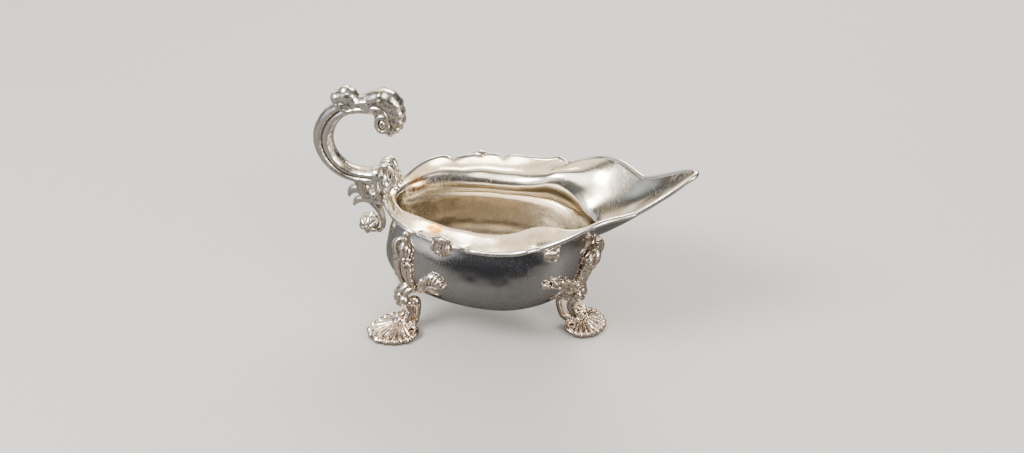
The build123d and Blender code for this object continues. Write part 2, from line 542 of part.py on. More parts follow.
def bowl_sections(rim, n):
    outer, inner, wire = [], [], []
    for rp in rim:
        th = math.atan2(abs(rp[1]), rp[0] - CENTRE_X)
        p, t = section(rp, 400)
        c = chord(p)
        stop = c[-1] - 2 * RIM_WIRE_R + 0.15
        q = np.linspace(0, stop, n)
        o = np.stack([np.interp(q, c, p[:, 0]), np.interp(q, c, p[:, 1])], 1)
        tt = np.stack([np.interp(q, c, t[:, 0]), np.interp(q, c, t[:, 1])], 1)
        tt /= np.linalg.norm(tt, axis=1)[:, None]
        i = o + np.stack([-tt[:, 1], tt[:, 0]], 1) * WALL
        i[0] = [o[0, 0] - 0.35, o[0, 1] + WALL]
        mid = (o[-1] + i[-1]) / 2
        w = mid + tt[-1] * (RIM_WIRE_R + 0.03)
        cs, sn = math.cos(th), (0.0 if rp[1] == 0 else math.sin(th))
        if rp[1] == 0:
            cs = 1.0 if rp[0] > 0 else -1.0
        put = lambda a: np.stack([CENTRE_X + a[..., 0] * cs, a[..., 0] * sn, a[..., 1]], -1)
        outer.append(put(o)); inner.append(put(i))
        ph = np.arange(14) * 2 * math.pi / 14
        ring = w + RIM_WIRE_R * (np.outer(np.cos(ph), tt[-1]) + np.outer(np.sin(ph), [-tt[-1][1], tt[-1][0]]))
        wire.append(put(ring))
    return np.array(outer), np.array(inner), np.array(wire)


# ---- build and export ----
SHIFT_X = 4.95          # moves the working frame so the origin is under the middle of the length
ROWS = 34                # rows of the bowl's surfaces from bottom to edge
STEP_ALONG_RIM = 3.2

os.makedirs("parts", exist_ok=True)
rim = rim_half(STEP_ALONG_RIM)
outer, inner, wire = bowl_sections(rim, ROWS)
rim_params = params_of(rim)
mirror_y = np.array([1, -1, 1])

faces, rings_low = [], []
for s in (np.array([1, 1, 1]), mirror_y):
    fo, ro = strips((outer * s).transpose(1, 0, 2), rim_params)
    fi, ri = strips((inner * s).transpose(1, 0, 2), rim_params)
    faces += fo + fi + [Face.make_surface_from_curves(ro[-1], ri[-1])]
    rings_low.append((ro[0], ri[0]))
faces += [Face(Wire([rings_low[0][0], rings_low[1][0]])), Face(Wire([rings_low[0][1], rings_low[1][1]]))]
solids = {"bowl": closed(faces)}

faces = []
for s in (np.array([1, 1, 1]), mirror_y):
    rows = [curve(r, rim_params) for r in (wire * s).transpose(1, 0, 2)]
    rows.append(rows[0])
    faces += [Face.make_surface_from_curves(a, b) for a, b in zip(rows, rows[1:])]
solids["rim_wire"] = closed(faces)

for name, rings in {**handle_pieces(1, 24), **leg_pieces(1, 24)}.items():
    solids[name] = ring_solid(rings)
for leg in LEGS:
    solids["knee_" + leg] = slab_solid(*knee_grid(leg, 26, 23))
for name, (centre, flip) in wing_pieces().items():
    solids[name] = slab_solid(*wing_grid(centre, flip, 22, 11))
for name in RIM_DROPS:
    for side, flip in (("near", -1), ("far", 1)):
        solids[name + "_" + side] = slab_solid(*rim_drop_grid(name, flip, 9, 19))

for name, solid in solids.items():
    export_step(solid.moved(Location((SHIFT_X, 0, 0))), "parts/" + name + ".step")
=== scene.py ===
import math
import bpy
import bmesh
import numpy as np
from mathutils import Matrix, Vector


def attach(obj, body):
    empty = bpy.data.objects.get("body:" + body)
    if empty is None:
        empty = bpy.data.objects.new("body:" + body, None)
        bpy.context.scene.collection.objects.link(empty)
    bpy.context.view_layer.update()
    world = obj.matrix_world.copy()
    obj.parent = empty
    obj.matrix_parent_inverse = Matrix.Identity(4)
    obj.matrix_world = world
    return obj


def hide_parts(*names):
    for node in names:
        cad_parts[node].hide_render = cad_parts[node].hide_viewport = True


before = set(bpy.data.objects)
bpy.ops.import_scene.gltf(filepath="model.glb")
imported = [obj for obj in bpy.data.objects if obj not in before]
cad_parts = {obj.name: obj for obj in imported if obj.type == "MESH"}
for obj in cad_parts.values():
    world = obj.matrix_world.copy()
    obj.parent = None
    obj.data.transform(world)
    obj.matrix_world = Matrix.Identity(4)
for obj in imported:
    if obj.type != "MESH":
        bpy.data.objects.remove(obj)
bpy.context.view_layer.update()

# Lengths below are millimetres in the working frame of the design; new_object() and Sculpt.build() turn them into metres in the row frame.
# ---- driving dimensions, millimetres ----
CENTRE_X = -8.0          # polar centre of the bowl in plan
WALL = 1.3               # sheet thickness of the raised bowl
RIM_WIRE_R = 1.6         # radius of the wire soldered round the edge
# Rim of the bowl from the lip (y = 0) round one side to the handle (y = 0): x, half width, height.
# A new list starts at every cusp of the shaped edge.
RIM = [
    [(93.2, 0, 102.9), (92.4, 2.19, 102.59), (90, 4.16, 101.47), (86, 6.82, 98.83), (80, 10.04, 94.67), (74, 12.77, 90.72), (69, 15.12, 87.77), (66, 16.88, 86.24)],
    [(66, 16.88, 86.24), (62, 20.24, 86.44), (56, 25.42, 87.07), (50, 30.24, 86.52), (44, 34.29, 84.39), (38, 37.14, 81.28), (32, 39, 78.06), (26, 39.87, 74.96), (22.5, 39.8, 72.9)],
    [(22.5, 39.8, 72.9), (20, 42.3, 74.2), (17, 44.4, 74.3)],
    [(17, 44.4, 74.3), (12, 44.5, 72.3), (6, 45.1, 71.4), (0, 45.8, 71.2), (-7, 46, 71.3), (-11, 45.3, 70.9), (-13.6, 43.7, 69.6)],
    [(-13.6, 43.7, 69.6), (-17, 44.6, 71), (-24, 43.3, 71.6), (-32, 40.6, 71.4), (-37, 38.2, 70.9), (-40.5, 35.6, 69.5)],
    [(-40.5, 35.6, 69.5), (-43, 36.3, 71.2), (-48, 34.2, 72.3), (-53, 29.6, 72.3), (-58, 23.06, 71.1), (-61, 17.48, 69.3), (-62.3, 13.8, 67.3)],
    [(-62.3, 13.8, 67.3), (-64.6, 10.96, 68.5), (-66.4, 5.86, 69.5), (-67, 0, 69.9)],
]
# Level loops of the bowl below the rim: front semi-axis, rear semi-axis, half width, height at the side, height at the front.
LEVELS = [
    (26.5, 34.0, 15.5, 18.5, 18.5),   # edge of the flat bottom
    (33.0, 45.0, 23.5, 21.0, 21.8),
    (39.8, 54.0, 30.5, 26.5, 27.2),
    (45.2, 59.0, 33.8, 34.5, 35.5),   # widest level of the belly
    (48.0, 58.0, 32.4, 44.0, 44.5),
    (50.0, 55.5, 28.4, 54.0, 54.5),
    (54.6, 53.0, 24.6, 62.0, 64.0),   # neck
]
# Flange from neck to rim: share of the way out, share of the rise at the sides, share of the rise along the spout, share of the edge's cusps.
FLANGE = [(0.05, 0.62, 0.04, 0.0), (0.17, 0.87, 0.13, 0.0), (0.50, 0.95, 0.42, 0.05), (0.82, 0.98, 0.79, 0.35), (1.0, 1.0, 1.0, 1.0)]
SPOUT_FROM, SPOUT_TO = 50.0, 14.0   # polar degrees over which the flange turns into the spout


def spline(knots, values, query):
    """Natural cubic spline through values at knots, for values of any width."""
    k, v, q = np.asarray(knots, float), np.asarray(values, float), np.asarray(query, float)
    v = v.reshape(len(k), -1)
    n, h = len(k), np.diff(k)
    if n == 2:
        t = ((q - k[0]) / h[0])[:, None]
        return v[0] * (1 - t) + v[1] * t
    a = np.zeros((n, n)); b = np.zeros_like(v)
    a[0, 0] = a[-1, -1] = 1
    for i in range(1, n - 1):
        a[i, i - 1], a[i, i], a[i, i + 1] = h[i - 1], 2 * (h[i - 1] + h[i]), h[i]
        b[i] = 6 * ((v[i + 1] - v[i]) / h[i] - (v[i] - v[i - 1]) / h[i - 1])
    m = np.linalg.solve(a, b)
    i = np.clip(np.searchsorted(k, q, side="right") - 1, 0, n - 2)
    hi, x0, x1 = h[i][:, None], (q - k[i])[:, None], (k[i + 1] - q)[:, None]
    return (m[i] * x1 ** 3 + m[i + 1] * x0 ** 3) / (6 * hi) + (v[i] / hi - m[i] * hi / 6) * x1 + (v[i + 1] / hi - m[i + 1] * hi / 6) * x0


def chord(p):
    return np.concatenate([[0], np.cumsum(np.linalg.norm(np.diff(np.asarray(p, float), axis=0), axis=1))])


def rim_half(step):
    """Rim points from the lip to the handle on the +Y side, about step apart, every cusp included."""
    out = []
    for k, seg in enumerate(RIM):
        p = np.array(seg, float)
        full = p
        if k == 0:
            full = np.vstack([(p * [1, -1, 1])[1:][::-1], p])
        if k == len(RIM) - 1:
            full = np.vstack([p, (p * [1, -1, 1])[:-1][::-1]])
        c = chord(full)
        lo, hi = (c[len(full) - len(p)], c[-1]) if k == 0 else (c[0], c[len(p) - 1])
        n = max(2, int(round((hi - lo) / step)) + 1)
        pts = spline(c, full, np.linspace(lo, hi, n))
        if k == 0:
            pts[0, 1] = 0
        if k == len(RIM) - 1:
            pts[-1, 1] = 0
        out.append(pts if k == 0 else pts[1:])
    return np.vstack(out)


def loop_radius(level, th):
    c, s = math.cos(th), math.sin(th)
    return 1 / math.sqrt((c / (level[0] if c > 0 else level[1])) ** 2 + (s / level[2]) ** 2)


def soft_rim():
    """Rim radius and height against polar angle with the cusps evened out, for the flange further in."""
    p = rim_half(0.5)
    th = np.degrees(np.arctan2(np.abs(p[:, 1]), p[:, 0] - CENTRE_X))
    q = np.arange(0, 181, 1.0)
    r, z = np.interp(q, th, np.hypot(p[:, 0] - CENTRE_X, p[:, 1])), np.interp(q, th, p[:, 2])
    out = []
    for i, d in enumerate(q):
        w = np.exp(-((q - d) / np.interp(d, [8, 25, 45], [0.8, 4.0, 11.0])) ** 2)
        m = np.exp(-((q + d) / np.interp(d, [8, 25, 45], [0.8, 4.0, 11.0])) ** 2) + np.exp(-((360 - q - d) / 11.0) ** 2)
        out.append(((r * (w + m)).sum() / (w + m).sum(), (z * (w + m)).sum() / (w + m).sum()))
    return q, np.array(out)


SOFT_TH, SOFT = soft_rim()


def section_knots(rim_point):
    """(r, z) of the outer surface's controlling points on the ray through a rim point, from the flat bottom to the rim."""
    dx, dy = rim_point[0] - CENTRE_X, abs(rim_point[1])
    th, big_r, big_z = math.atan2(dy, dx), math.hypot(dx, dy), rim_point[2]
    front = max(0.0, math.cos(th)) ** 1.5
    knots = [(loop_radius(lv, th), lv[3] + (lv[4] - lv[3]) * front) for lv in LEVELS]
    d = math.degrees(th)
    u = min(1.0, max(0.0, (SPOUT_FROM - d) / (SPOUT_FROM - SPOUT_TO)))
    w = u * u * (3 - 2 * u)
    r0, z0 = knots[-1]
    soft_r, soft_z = np.interp(d, SOFT_TH, SOFT[:, 0]), np.interp(d, SOFT_TH, SOFT[:, 1])
    for f, side, spout, c in FLANGE:
        er, ez = soft_r + (big_r - soft_r) * c, soft_z + (big_z - soft_z) * c
        knots.append((r0 + (er - r0) * f, z0 + (ez - z0) * (side * (1 - w) + spout * w)))
    return np.array(knots)


def section(rim_point, n, offset=0.0):
    """n points (r, z) along the section, moved out from the outer surface by offset within the section's own plane. The first stays level with the flat bottom."""
    k = section_knots(rim_point)
    c = chord(k)
    fine = spline(c, k, np.linspace(0, c[-1], 400))
    cf = chord(fine)
    q = np.linspace(0, cf[-1], n)
    p = np.stack([np.interp(q, cf, fine[:, 0]), np.interp(q, cf, fine[:, 1])], 1)
    t = np.stack([np.interp(q, cf, np.gradient(fine[:, 0])), np.interp(q, cf, np.gradient(fine[:, 1]))], 1)
    t /= np.linalg.norm(t, axis=1)[:, None]
    normal = np.stack([t[:, 1], -t[:, 0]], 1)   # outward and down
    p = p + normal * offset
    if offset:
        p[0] = [k[0][0], k[0][1] - offset]
    return p, t


def bowl_grid(rim, n, offset=0.0):
    out = []
    for rp in rim:
        th = math.atan2(abs(rp[1]), rp[0] - CENTRE_X)
        if rp[1] == 0:
            th = 0.0 if rp[0] > 0 else math.pi
        p, _ = section(rp, n, offset)
        y = p[:, 0] * math.sin(th)
        if rp[1] == 0:
            y = y * 0
        out.append(np.stack([CENTRE_X + p[:, 0] * math.cos(th), y, p[:, 1]], 1))
    return np.array(out)


# ---- surface of the bowl as a lookup, so castings can be laid on it ----
RIM_FINE = rim_half(0.5)
RIM_TH = np.degrees(np.arctan2(np.abs(RIM_FINE[:, 1]), RIM_FINE[:, 0] - CENTRE_X))
RIM_RAD = np.hypot(RIM_FINE[:, 0] - CENTRE_X, RIM_FINE[:, 1])
SURF_TH = np.arange(0, 181, 2.0)
SURF_Z = np.linspace(17.5, 66, 120)


def rim_at(th):
    r, z = np.interp(th, RIM_TH, RIM_RAD), np.interp(th, RIM_TH, RIM_FINE[:, 2])
    return (CENTRE_X + r * math.cos(math.radians(th)), r * math.sin(math.radians(th)), z)


def surf_table():
    out = []
    for th in SURF_TH:
        p, _ = section(rim_at(th), 300)
        keep = p[:, 1] <= 67
        last = np.argmax(~keep) if (~keep).any() else len(p)
        p = p[:last]
        out.append(np.interp(SURF_Z, p[:, 1], p[:, 0]))
    return np.array(out)


SURF_R = surf_table()


def surf(th, z):
    """Points on the outside of the bowl at signed polar angle th (degrees, minus = -Y side) and height z."""
    th, z = np.broadcast_arrays(np.asarray(th, float), np.asarray(z, float))
    fold = np.abs((th + 180) % 360 - 180)
    i = np.clip(fold / 2.0, 0, len(SURF_TH) - 1.0001); i0 = i.astype(int); fi = i - i0
    j = np.clip((z - SURF_Z[0]) / (SURF_Z[1] - SURF_Z[0]), 0, len(SURF_Z) - 1.0001); j0 = j.astype(int); fj = j - j0
    r = (SURF_R[i0, j0] * (1 - fi) + SURF_R[i0 + 1, j0] * fi) * (1 - fj) + (SURF_R[i0, j0 + 1] * (1 - fi) + SURF_R[i0 + 1, j0 + 1] * fi) * fj
    a = np.radians(th)
    return np.stack([CENTRE_X + r * np.cos(a), r * np.sin(a), z], -1)


def surf_normal(th, z):
    a = surf(np.asarray(th) + 2.5, z) - surf(np.asarray(th) - 2.5, z)
    b = surf(th, np.asarray(z) + 1.0) - surf(th, np.asarray(z) - 1.0)
    n = np.cross(a, b)
    return n / np.linalg.norm(n, axis=-1)[..., None]


def bowl_low_z(x, y):
    """Height of the underside of the belly above a ground point."""
    th, r = math.degrees(math.atan2(y, x - CENTRE_X)), math.hypot(x - CENTRE_X, y)
    zz = np.linspace(18.5, 34, 60)
    rr = np.hypot(surf(th, zz)[:, 0] - CENTRE_X, surf(th, zz)[:, 1])
    return float(np.interp(r, rr, zz))


def bump(x, c, w):
    return np.exp(-((x - c) / w) ** 2)


# ---- legs: place on the ground, heading, reach of the shell pad ahead of its apex ----
LEGS = {
    "front": (33.0, 0.0, 0.0, 13.0),
    "rear_near": (-51.0, -22.3, -147.0, 17.6),
    "rear_far": (-51.0, 22.3, 147.0, 17.6),
}
PAD_APEX = 4.0           # apex of the fan ahead of the leg's axis
PAD_HALF = 12.3          # half width of the pad
PAD_TOP = 6.2
GAP = 0.12               # solder line between a casting and the bowl
# Centre line of each knee cartouche on the bowl: polar angle, height.
KNEES = {
    "front": [(0, 28.6), (0, 33.4), (0, 39.8), (0, 47), (0, 54.4)],
    "rear_near": [(-150.5, 28.8), (-151.5, 34), (-153.5, 40.5), (-156.5, 48), (-159, 54.8)],
    "rear_far": [(150.5, 28.8), (151.5, 34), (153.5, 40.5), (156.5, 48), (159, 54.8)],
}


def leg_frame(leg):
    x, y, h, s = LEGS[leg]
    d = np.array([math.cos(math.radians(h)), math.sin(math.radians(h)), 0])
    return np.array([x, y, 0.0]), d, np.array([-d[1], d[0], 0.0]), s


def tube(path, a, b, side, rings, m, shape=None, flat_start=None, flat_end=None):
    """Rings along a curve lying in the plane whose normal is side. a, b: half sizes in that plane and across it, given at the path points."""
    p = np.asarray(path, float)
    c = chord(p)
    q = np.linspace(0, c[-1], rings)
    pts = spline(c, p, q)
    aa, bb = np.interp(q, c, a), np.interp(q, c, b)
    t = np.gradient(spline(c, p, np.linspace(0, c[-1], rings * 8)), axis=0)[::8][:rings]
    t = np.gradient(pts, axis=0) if len(t) != rings else t
    t[-1] = pts[-1] - spline(c, p, [c[-1] * 0.995])[0]
    if flat_start is not None:
        t[0] = flat_start
    if flat_end is not None:
        t[-1] = flat_end
    t /= np.linalg.norm(t, axis=1)[:, None]
    side = np.asarray(side, float)
    n = np.cross(side, t)
    n /= np.linalg.norm(n, axis=1)[:, None]
    ph = np.arange(m) * 2 * math.pi / m
    out = np.empty((rings, m, 3))
    for i in range(rings):
        f = np.ones(m) if shape is None else shape(ph, q[i] / c[-1])
        out[i] = pts[i] + np.outer(aa[i] * np.cos(ph) * f, n[i]) + np.outer(bb[i] * np.sin(ph) * f, side)
    return out


def stack(base, axis, across, levels, m, shape=None):
    """Rings square to an axis. levels: height, half size across, half size the other way, shift across."""
    base, axis, across = (np.asarray(v, float) for v in (base, axis, across))
    other = np.cross(axis, across)
    ph = np.arange(m) * 2 * math.pi / m
    out = []
    for k, (h, a, b, s) in enumerate(levels):
        f = np.ones(m) if shape is None else shape(ph, k / (len(levels) - 1))
        out.append(base + axis * h + np.outer(s + a * np.cos(ph) * f, across) + np.outer(b * np.sin(ph) * f, other))
    return np.array(out)


def groove(depth, width):
    return lambda ph, t: 1 - depth * (np.exp(-(np.cos(ph) / width) ** 2))


# ---- handle: all in the upright middle plane ----
HANDLE = [(-69.3, 0, 80.4), (-76.6, 0, 79.2), (-83.5, 0, 79.6), (-90.2, 0, 82.6), (-95.2, 0, 88.2), (-97.8, 0, 95.2), (-97.6, 0, 102.4), (-94.9, 0, 109.2), (-90.4, 0, 115.0), (-84.4, 0, 118.9), (-77.9, 0, 120.9), (-72.4, 0, 121.9)]
HANDLE_A = [3.9, 4.0, 4.2, 4.7, 5.1, 5.3, 5.2, 4.9, 4.5, 4.15, 4.7, 5.4]
HANDLE_B = [4.6, 4.3, 4.2, 4.3, 4.4, 4.4, 4.4, 4.4, 4.3, 4.2, 4.4, 4.8]
VOLUTE = [(-72.22, 0, 121.98), (-67.6, 0, 125.0), (-62.6, 0, 124.9), (-59.9, 0, 120.6), (-59.8, 0, 114.6), (-62.8, 0, 110.0), (-66.9, 0, 110.2), (-67.6, 0, 113.6)]
VOLUTE_A = [5.4, 5.6, 5.9, 5.2, 5.0, 4.3, 2.9, 1.6]
VOLUTE_B = [4.8, 5.5, 6.2, 6.0, 5.6, 5.0, 4.0, 2.6]
SIDE = (0, 1, 0)


def handle_pieces(q, m):
    g = groove(0.24, 0.30)
    out = {
        "handle_scroll": tube(HANDLE, HANDLE_A, HANDLE_B, SIDE, 26 * q, m, g),
        "handle_volute": tube(VOLUTE, VOLUTE_A, VOLUTE_B, SIDE, 20 * q, m, lambda ph, t: 1 - 0.16 * np.exp(-(np.cos(ph) / 0.3) ** 2) * (1 - t), flat_start=(5.5, 0, 1.0)),
    }
    # knot of leaves on top of the scroll
    n = np.array([-0.40, 0, 0.9165]); t = np.array([0.9165, 0, 0.40])
    lobes = lambda ph, k: 1 + 0.10 * np.cos(2 * ph) + 0.10 * np.cos(3 * ph + 0.6)
    out["handle_knot"] = stack(np.array([-83.6, 0, 119.2]) + n * 4.45, n, t, [(0, 2.6, 2.2, 0), (0.9, 4.6, 3.6, 0.2), (2.6, 6.3, 4.6, 0.6), (4.4, 6.0, 4.4, 1.0), (6.0, 4.2, 3.2, 1.6), (7.0, 1.6, 1.3, 2.0)], m, lobes)
    # upright leaf where the handle meets the edge
    out["handle_leaf"] = stack((-63.6, 0, 73.6), (0, 0, 1), (1, 0, 0), [(0, 4.6, 4.0, 0.4), (2.6, 5.0, 5.4, 0.3), (6.5, 4.7, 6.0, 0.0), (10.5, 4.1, 5.4, -0.6), (13.4, 2.9, 3.6, -0.7), (15.2, 1.7, 2.0, -0.4), (16.1, 0.6, 0.7, -0.2)], m, lambda ph, t: 1 - 0.16 * np.exp(-(np.cos(ph * 1.0) / 0.35) ** 2) * math.sin(math.pi * min(1, t + 0.2)))
    # drop of the handle below the scroll, with two thorns and a rosette
    out["handle_drop"] = tube([(-79.9, 0, 74.6), (-79.1, 0, 70.6), (-76.2, 0, 66.2), (-72.6, 0, 61.9), (-69.9, 0, 57.4), (-68.6, 0, 52.6), (-68.6, 0, 48.2), (-70.3, 0, 44.6)], [2.1, 2.2, 2.3, 2.1, 1.9, 1.8, 1.7, 1.0], [3.4, 3.3, 3.3, 3.2, 2.8, 2.4, 2.2, 1.4], SIDE, 20 * q, m, groove(0.15, 0.4), flat_start=(0.12, 0, -1))
    out["handle_neck"] = tube([(-70.6, 0, 75.5), (-70.5, 0, 72.2), (-69.9, 0, 68.6), (-67.6, 0, 65.0), (-63.6, 0, 62.7)], [2.0, 1.6, 1.5, 1.6, 2.0], [3.8, 3.4, 3.2, 3.4, 4.0], SIDE, 12 * q, m, flat_start=(0, 0, -1), flat_end=(1, 0, -0.15))
    out["handle_thorn_upper"] = tube([(-82.0, 0, 71.4), (-83.9, 0, 70.2), (-85.6, 0, 67.9), (-86.9, 0, 65.0)], [2.2, 2.0, 1.4, 0.35], [2.6, 2.3, 1.6, 0.4], SIDE, 9 * q, m)
    out["handle_thorn_lower"] = tube([(-79.6, 0, 65.0), (-81.4, 0, 64.3), (-83.0, 0, 62.4), (-84.2, 0, 59.6)], [1.5, 1.5, 1.1, 0.35], [2.4, 2.1, 1.5, 0.4], SIDE, 9 * q, m)
    out["handle_rosette"] = stack((-76.2, -5.0, 49.6), (0, 1, 0), (1, 0, 0), [(0, 1.5, 1.5, 0), (0.7, 3.4, 3.4, 0), (2.4, 4.9, 4.9, 0), (5.0, 5.4, 5.4, 0), (7.6, 4.9, 4.9, 0), (9.3, 3.4, 3.4, 0), (10.0, 1.5, 1.5, 0)], m, lambda ph, t: 1 + 0.05 * np.cos(6 * ph))
    return out


# ---- legs ----
LEG_PATH = [(0.95, 25.75), (2.0, 23.9), (2.7, 21.7), (2.4, 19.3), (0.7, 16.9), (-0.9, 14.3), (-1.2, 11.5), (0.0, 8.7), (1.0, 6.25)]
LEG_A = [2.9, 3.7, 4.2, 4.0, 3.4, 3.0, 3.0, 3.4, 3.9]
LEG_B = [3.6, 4.6, 5.1, 4.7, 3.8, 3.3, 3.2, 3.7, 4.4]
STRUT_PATH = [(-3.7, 17.9), (-5.2, 18.5), (-7.2, 17.2), (-8.0, 13.2), (-7.3, 9.0), (-6.1, 5.9), (-4.9, 3.9)]
STRUT_R = [1.2, 1.4, 1.5, 1.4, 1.3, 1.1, 0.9]


def pad_radius(deg, reach):
    d = abs((deg + 180) % 360 - 180)
    front = 1 / math.sqrt((math.cos(math.radians(min(d, 90))) / reach) ** 2 + (math.sin(math.radians(min(d, 90))) / PAD_HALF) ** 2)
    return front if d <= 90 else float(np.interp(d, [90, 105, 125, 150, 180], [PAD_HALF, 11.2, 8.6, 7.2, 7.0]))


def pad_rib(deg):
    fold = np.abs((deg + 180) % 360 - 180)
    return np.cos(np.radians(fold) * 360 / 24.0) * np.clip((112 - fold) / 14, 0, 1)


PAD_PROFILE = ((0.94, 0.0, 0), (1.0, 0.9, 0), (0.985, 2.3, 0.25), (0.90, 3.3, 0.5), (0.72, 3.9, 0.55), (0.50, 4.6, 0.45), (0.27, 5.5, 0.2), (0.0, PAD_TOP, 0))


def pad_rings(leg, m, profile=PAD_PROFILE):
    """Shell pad: flat below, ribs fanning from under the ankle, scalloped edge."""
    o, d, side, reach = leg_frame(leg)
    deg = np.arange(m) * 360.0 / m
    rib = pad_rib(deg)
    rad = np.array([pad_radius(v, reach) for v in deg]) * (1 + 0.035 * rib)
    core, a, rings = 2.2, np.radians(deg), []
    for f, z, rh in profile:   # share of the way out, height, rib height
        g = min(1.0, f / 0.9)
        r = rad * f if f >= 0.9 else core + (rad * 0.90 - core) * g
        c = PAD_APEX * g + 1.5 * (1 - g)
        rings.append(o + np.outer(r * np.cos(a) + c, d) + np.outer(r * np.sin(a), side) + np.outer(z + rh * rib, (0, 0, 1)))
    return np.array(rings)


def lift(leg, path):
    o, d, side, s = leg_frame(leg)
    return [o + d * u + np.array([0, 0, z]) for u, z in path], side


def leg_pieces(q, m):
    out = {}
    for leg in LEGS:
        path, side = lift(leg, LEG_PATH)
        o, d, sd, s = leg_frame(leg)
        n = -surf_normal(math.degrees(math.atan2(path[0][1], path[0][0] - CENTRE_X)), path[0][2])
        start = -n
        # slide the first points so the leg springs a hair off the belly
        zb = bowl_low_z(path[0][0], path[0][1])
        path[0] = path[0] + np.array([0, 0, min(0.0, zb - 0.75 - path[0][2])])
        out["leg_" + leg] = tube(path, LEG_A, LEG_B, side, 14 * q, m, lambda ph, t: 1 + (0.05 * np.cos(4 * ph) if t < 0.45 else 0 * ph), flat_start=d * 0.60 + np.array([0, 0, -0.80]), flat_end=(0, 0, -1))
        path, side = lift(leg, STRUT_PATH)
        out["leg_scroll_" + leg] = tube(path, STRUT_R, np.array(STRUT_R) * 1.25, side, 14 * q, m)
        out["foot_" + leg] = pad_rings(leg, max(m, 96))
    return out


def knee_relief(a, t, w):
    """Height of the knee cartouche above the bowl. a: across, mm. t: 0 at the knee, 1 at the tip of the leaf."""
    x = np.abs(a)
    ribs = 1.7 * bump(x, 3.6, 1.25) * np.clip((0.66 - t) / 0.08, 0, 1) * np.clip(t / 0.05 + 0.3, 0, 1)
    beads = 1.8 * bump(x, 2.6, 1.5) * bump(t, 0.67, 0.045) + 1.4 * bump(x, 5.4, 1.5) * bump(t, 0.60, 0.05) + 1.5 * bump(x, 1.5, 1.5) * bump(t, 0.04, 0.05)
    leaf = 2.3 * np.clip((t - 0.68) / 0.06, 0, 1) * np.clip(1 - (x / np.maximum(w, 0.5)) ** 2, 0, 1) ** 0.5 * (1 - 0.55 * bump(a, 0, 1.1))
    edge = 0.7 * bump(x, w - 0.8, 1.0)
    return 0.9 + ribs + beads + leaf + edge


def knee_width(t):
    return np.interp(t, [0, 0.08, 0.25, 0.45, 0.58, 0.66, 0.74, 0.84, 0.93, 1.0], [3.6, 5.4, 6.6, 6.9, 7.6, 6.8, 8.2, 7.4, 4.2, 0.9])


def laid(th, z, h):
    return surf(th, z) + surf_normal(th, z) * np.asarray(h)[..., None]


def degrees_per_mm(th, z):
    a = surf(th + 1, z) - surf(th - 1, z)
    return 2 / np.linalg.norm(a, axis=-1)


# Size of each knee cartouche against the plain pattern: across, and standing off the bowl.
KNEE_SIZE = {"front": (1.4, 1.5), "rear_near": (0.8, 1.0), "rear_far": (0.8, 1.0)}


def knee_grid(leg, rows, cols):
    wide, deep = KNEE_SIZE[leg]
    k = np.array(KNEES[leg], float)
    t = np.linspace(0, 1, rows)
    line = spline(chord(k * [0.8, 1]) / chord(k * [0.8, 1])[-1], k, t)
    v = np.linspace(-1, 1, cols)
    w = knee_width(t)[:, None]
    a = v[None] * w
    th0, z = line[:, :1], line[:, 1:] + 0 * a
    th = th0 + a * wide * degrees_per_mm(th0 + 0 * a, z)
    h = knee_relief(a, t[:, None] + 0 * a, w) * deep
    return laid(th, z, h), laid(th, z, GAP + 0 * a)


# Shell wings either side of each knee: centre line on the bowl (polar angle, height) from root to tip.
WINGS = {
    "front": [(16.0, 33.5), (22.5, 37.5), (29.5, 41.0), (35.5, 42.5), (41, 42.0)],
    "rear_inner": [(-139.5, 35.2), (-136.0, 37.2), (-132.0, 38.8), (-128.0, 38.8), (-124.0, 37.2)],
}


def wing_grid(line, flip, rows, cols):
    k = np.array(line, float) * [flip, 1]
    t = np.linspace(0, 1, rows)
    c = chord(k * [0.8, 1])
    line = spline(c / c[-1], k, t)
    v = np.linspace(-1, 1, cols)
    w = np.interp(t, [0, 0.12, 0.35, 0.6, 0.85, 1.0], [2.2, 3.9, 4.6, 4.0, 2.9, 1.2])[:, None] * (1 + 0.10 * np.cos(t[:, None] * 22))
    z = line[:, 1:] + v[None] * w
    th = line[:, :1] + 0 * z
    tt = t[:, None] + 0 * z
    vv = v[None] + 0 * z
    h = 1.0 + 1.5 * np.clip(1 - vv ** 2, 0, 1) ** 0.5 + 0.55 * np.cos(tt * 24 + 1.2 * vv) * (1 - 0.5 * np.abs(vv)) - 0.3 * bump(vv, 0.25, 0.2)
    h = h * np.clip(np.minimum(tt / 0.08 + 0.45, (1 - tt) / 0.10 + 0.4), 0, 1)
    return laid(th, z, np.maximum(h, 0.55)), laid(th, z, GAP + 0 * z)


def wing_pieces():
    return {
        "wing_front_near": (WINGS["front"], -1), "wing_front_far": (WINGS["front"], 1),
        "wing_rear_near": (WINGS["rear_inner"], 1), "wing_rear_far": (WINGS["rear_inner"], -1),
    }


# Castings hung under the edge wire: place along x on the rim, half length along the rim, drop, outward lean.
RIM_DROPS = {
    "rim_shell": (-26.5, 6.4, 5.0, 1.2, 3),
    "rim_leaf": (28.2, 5.0, 4.6, 0.6, 3),
    "rim_tab": (-46.5, 1.9, 4.6, 0.4, 1),
}


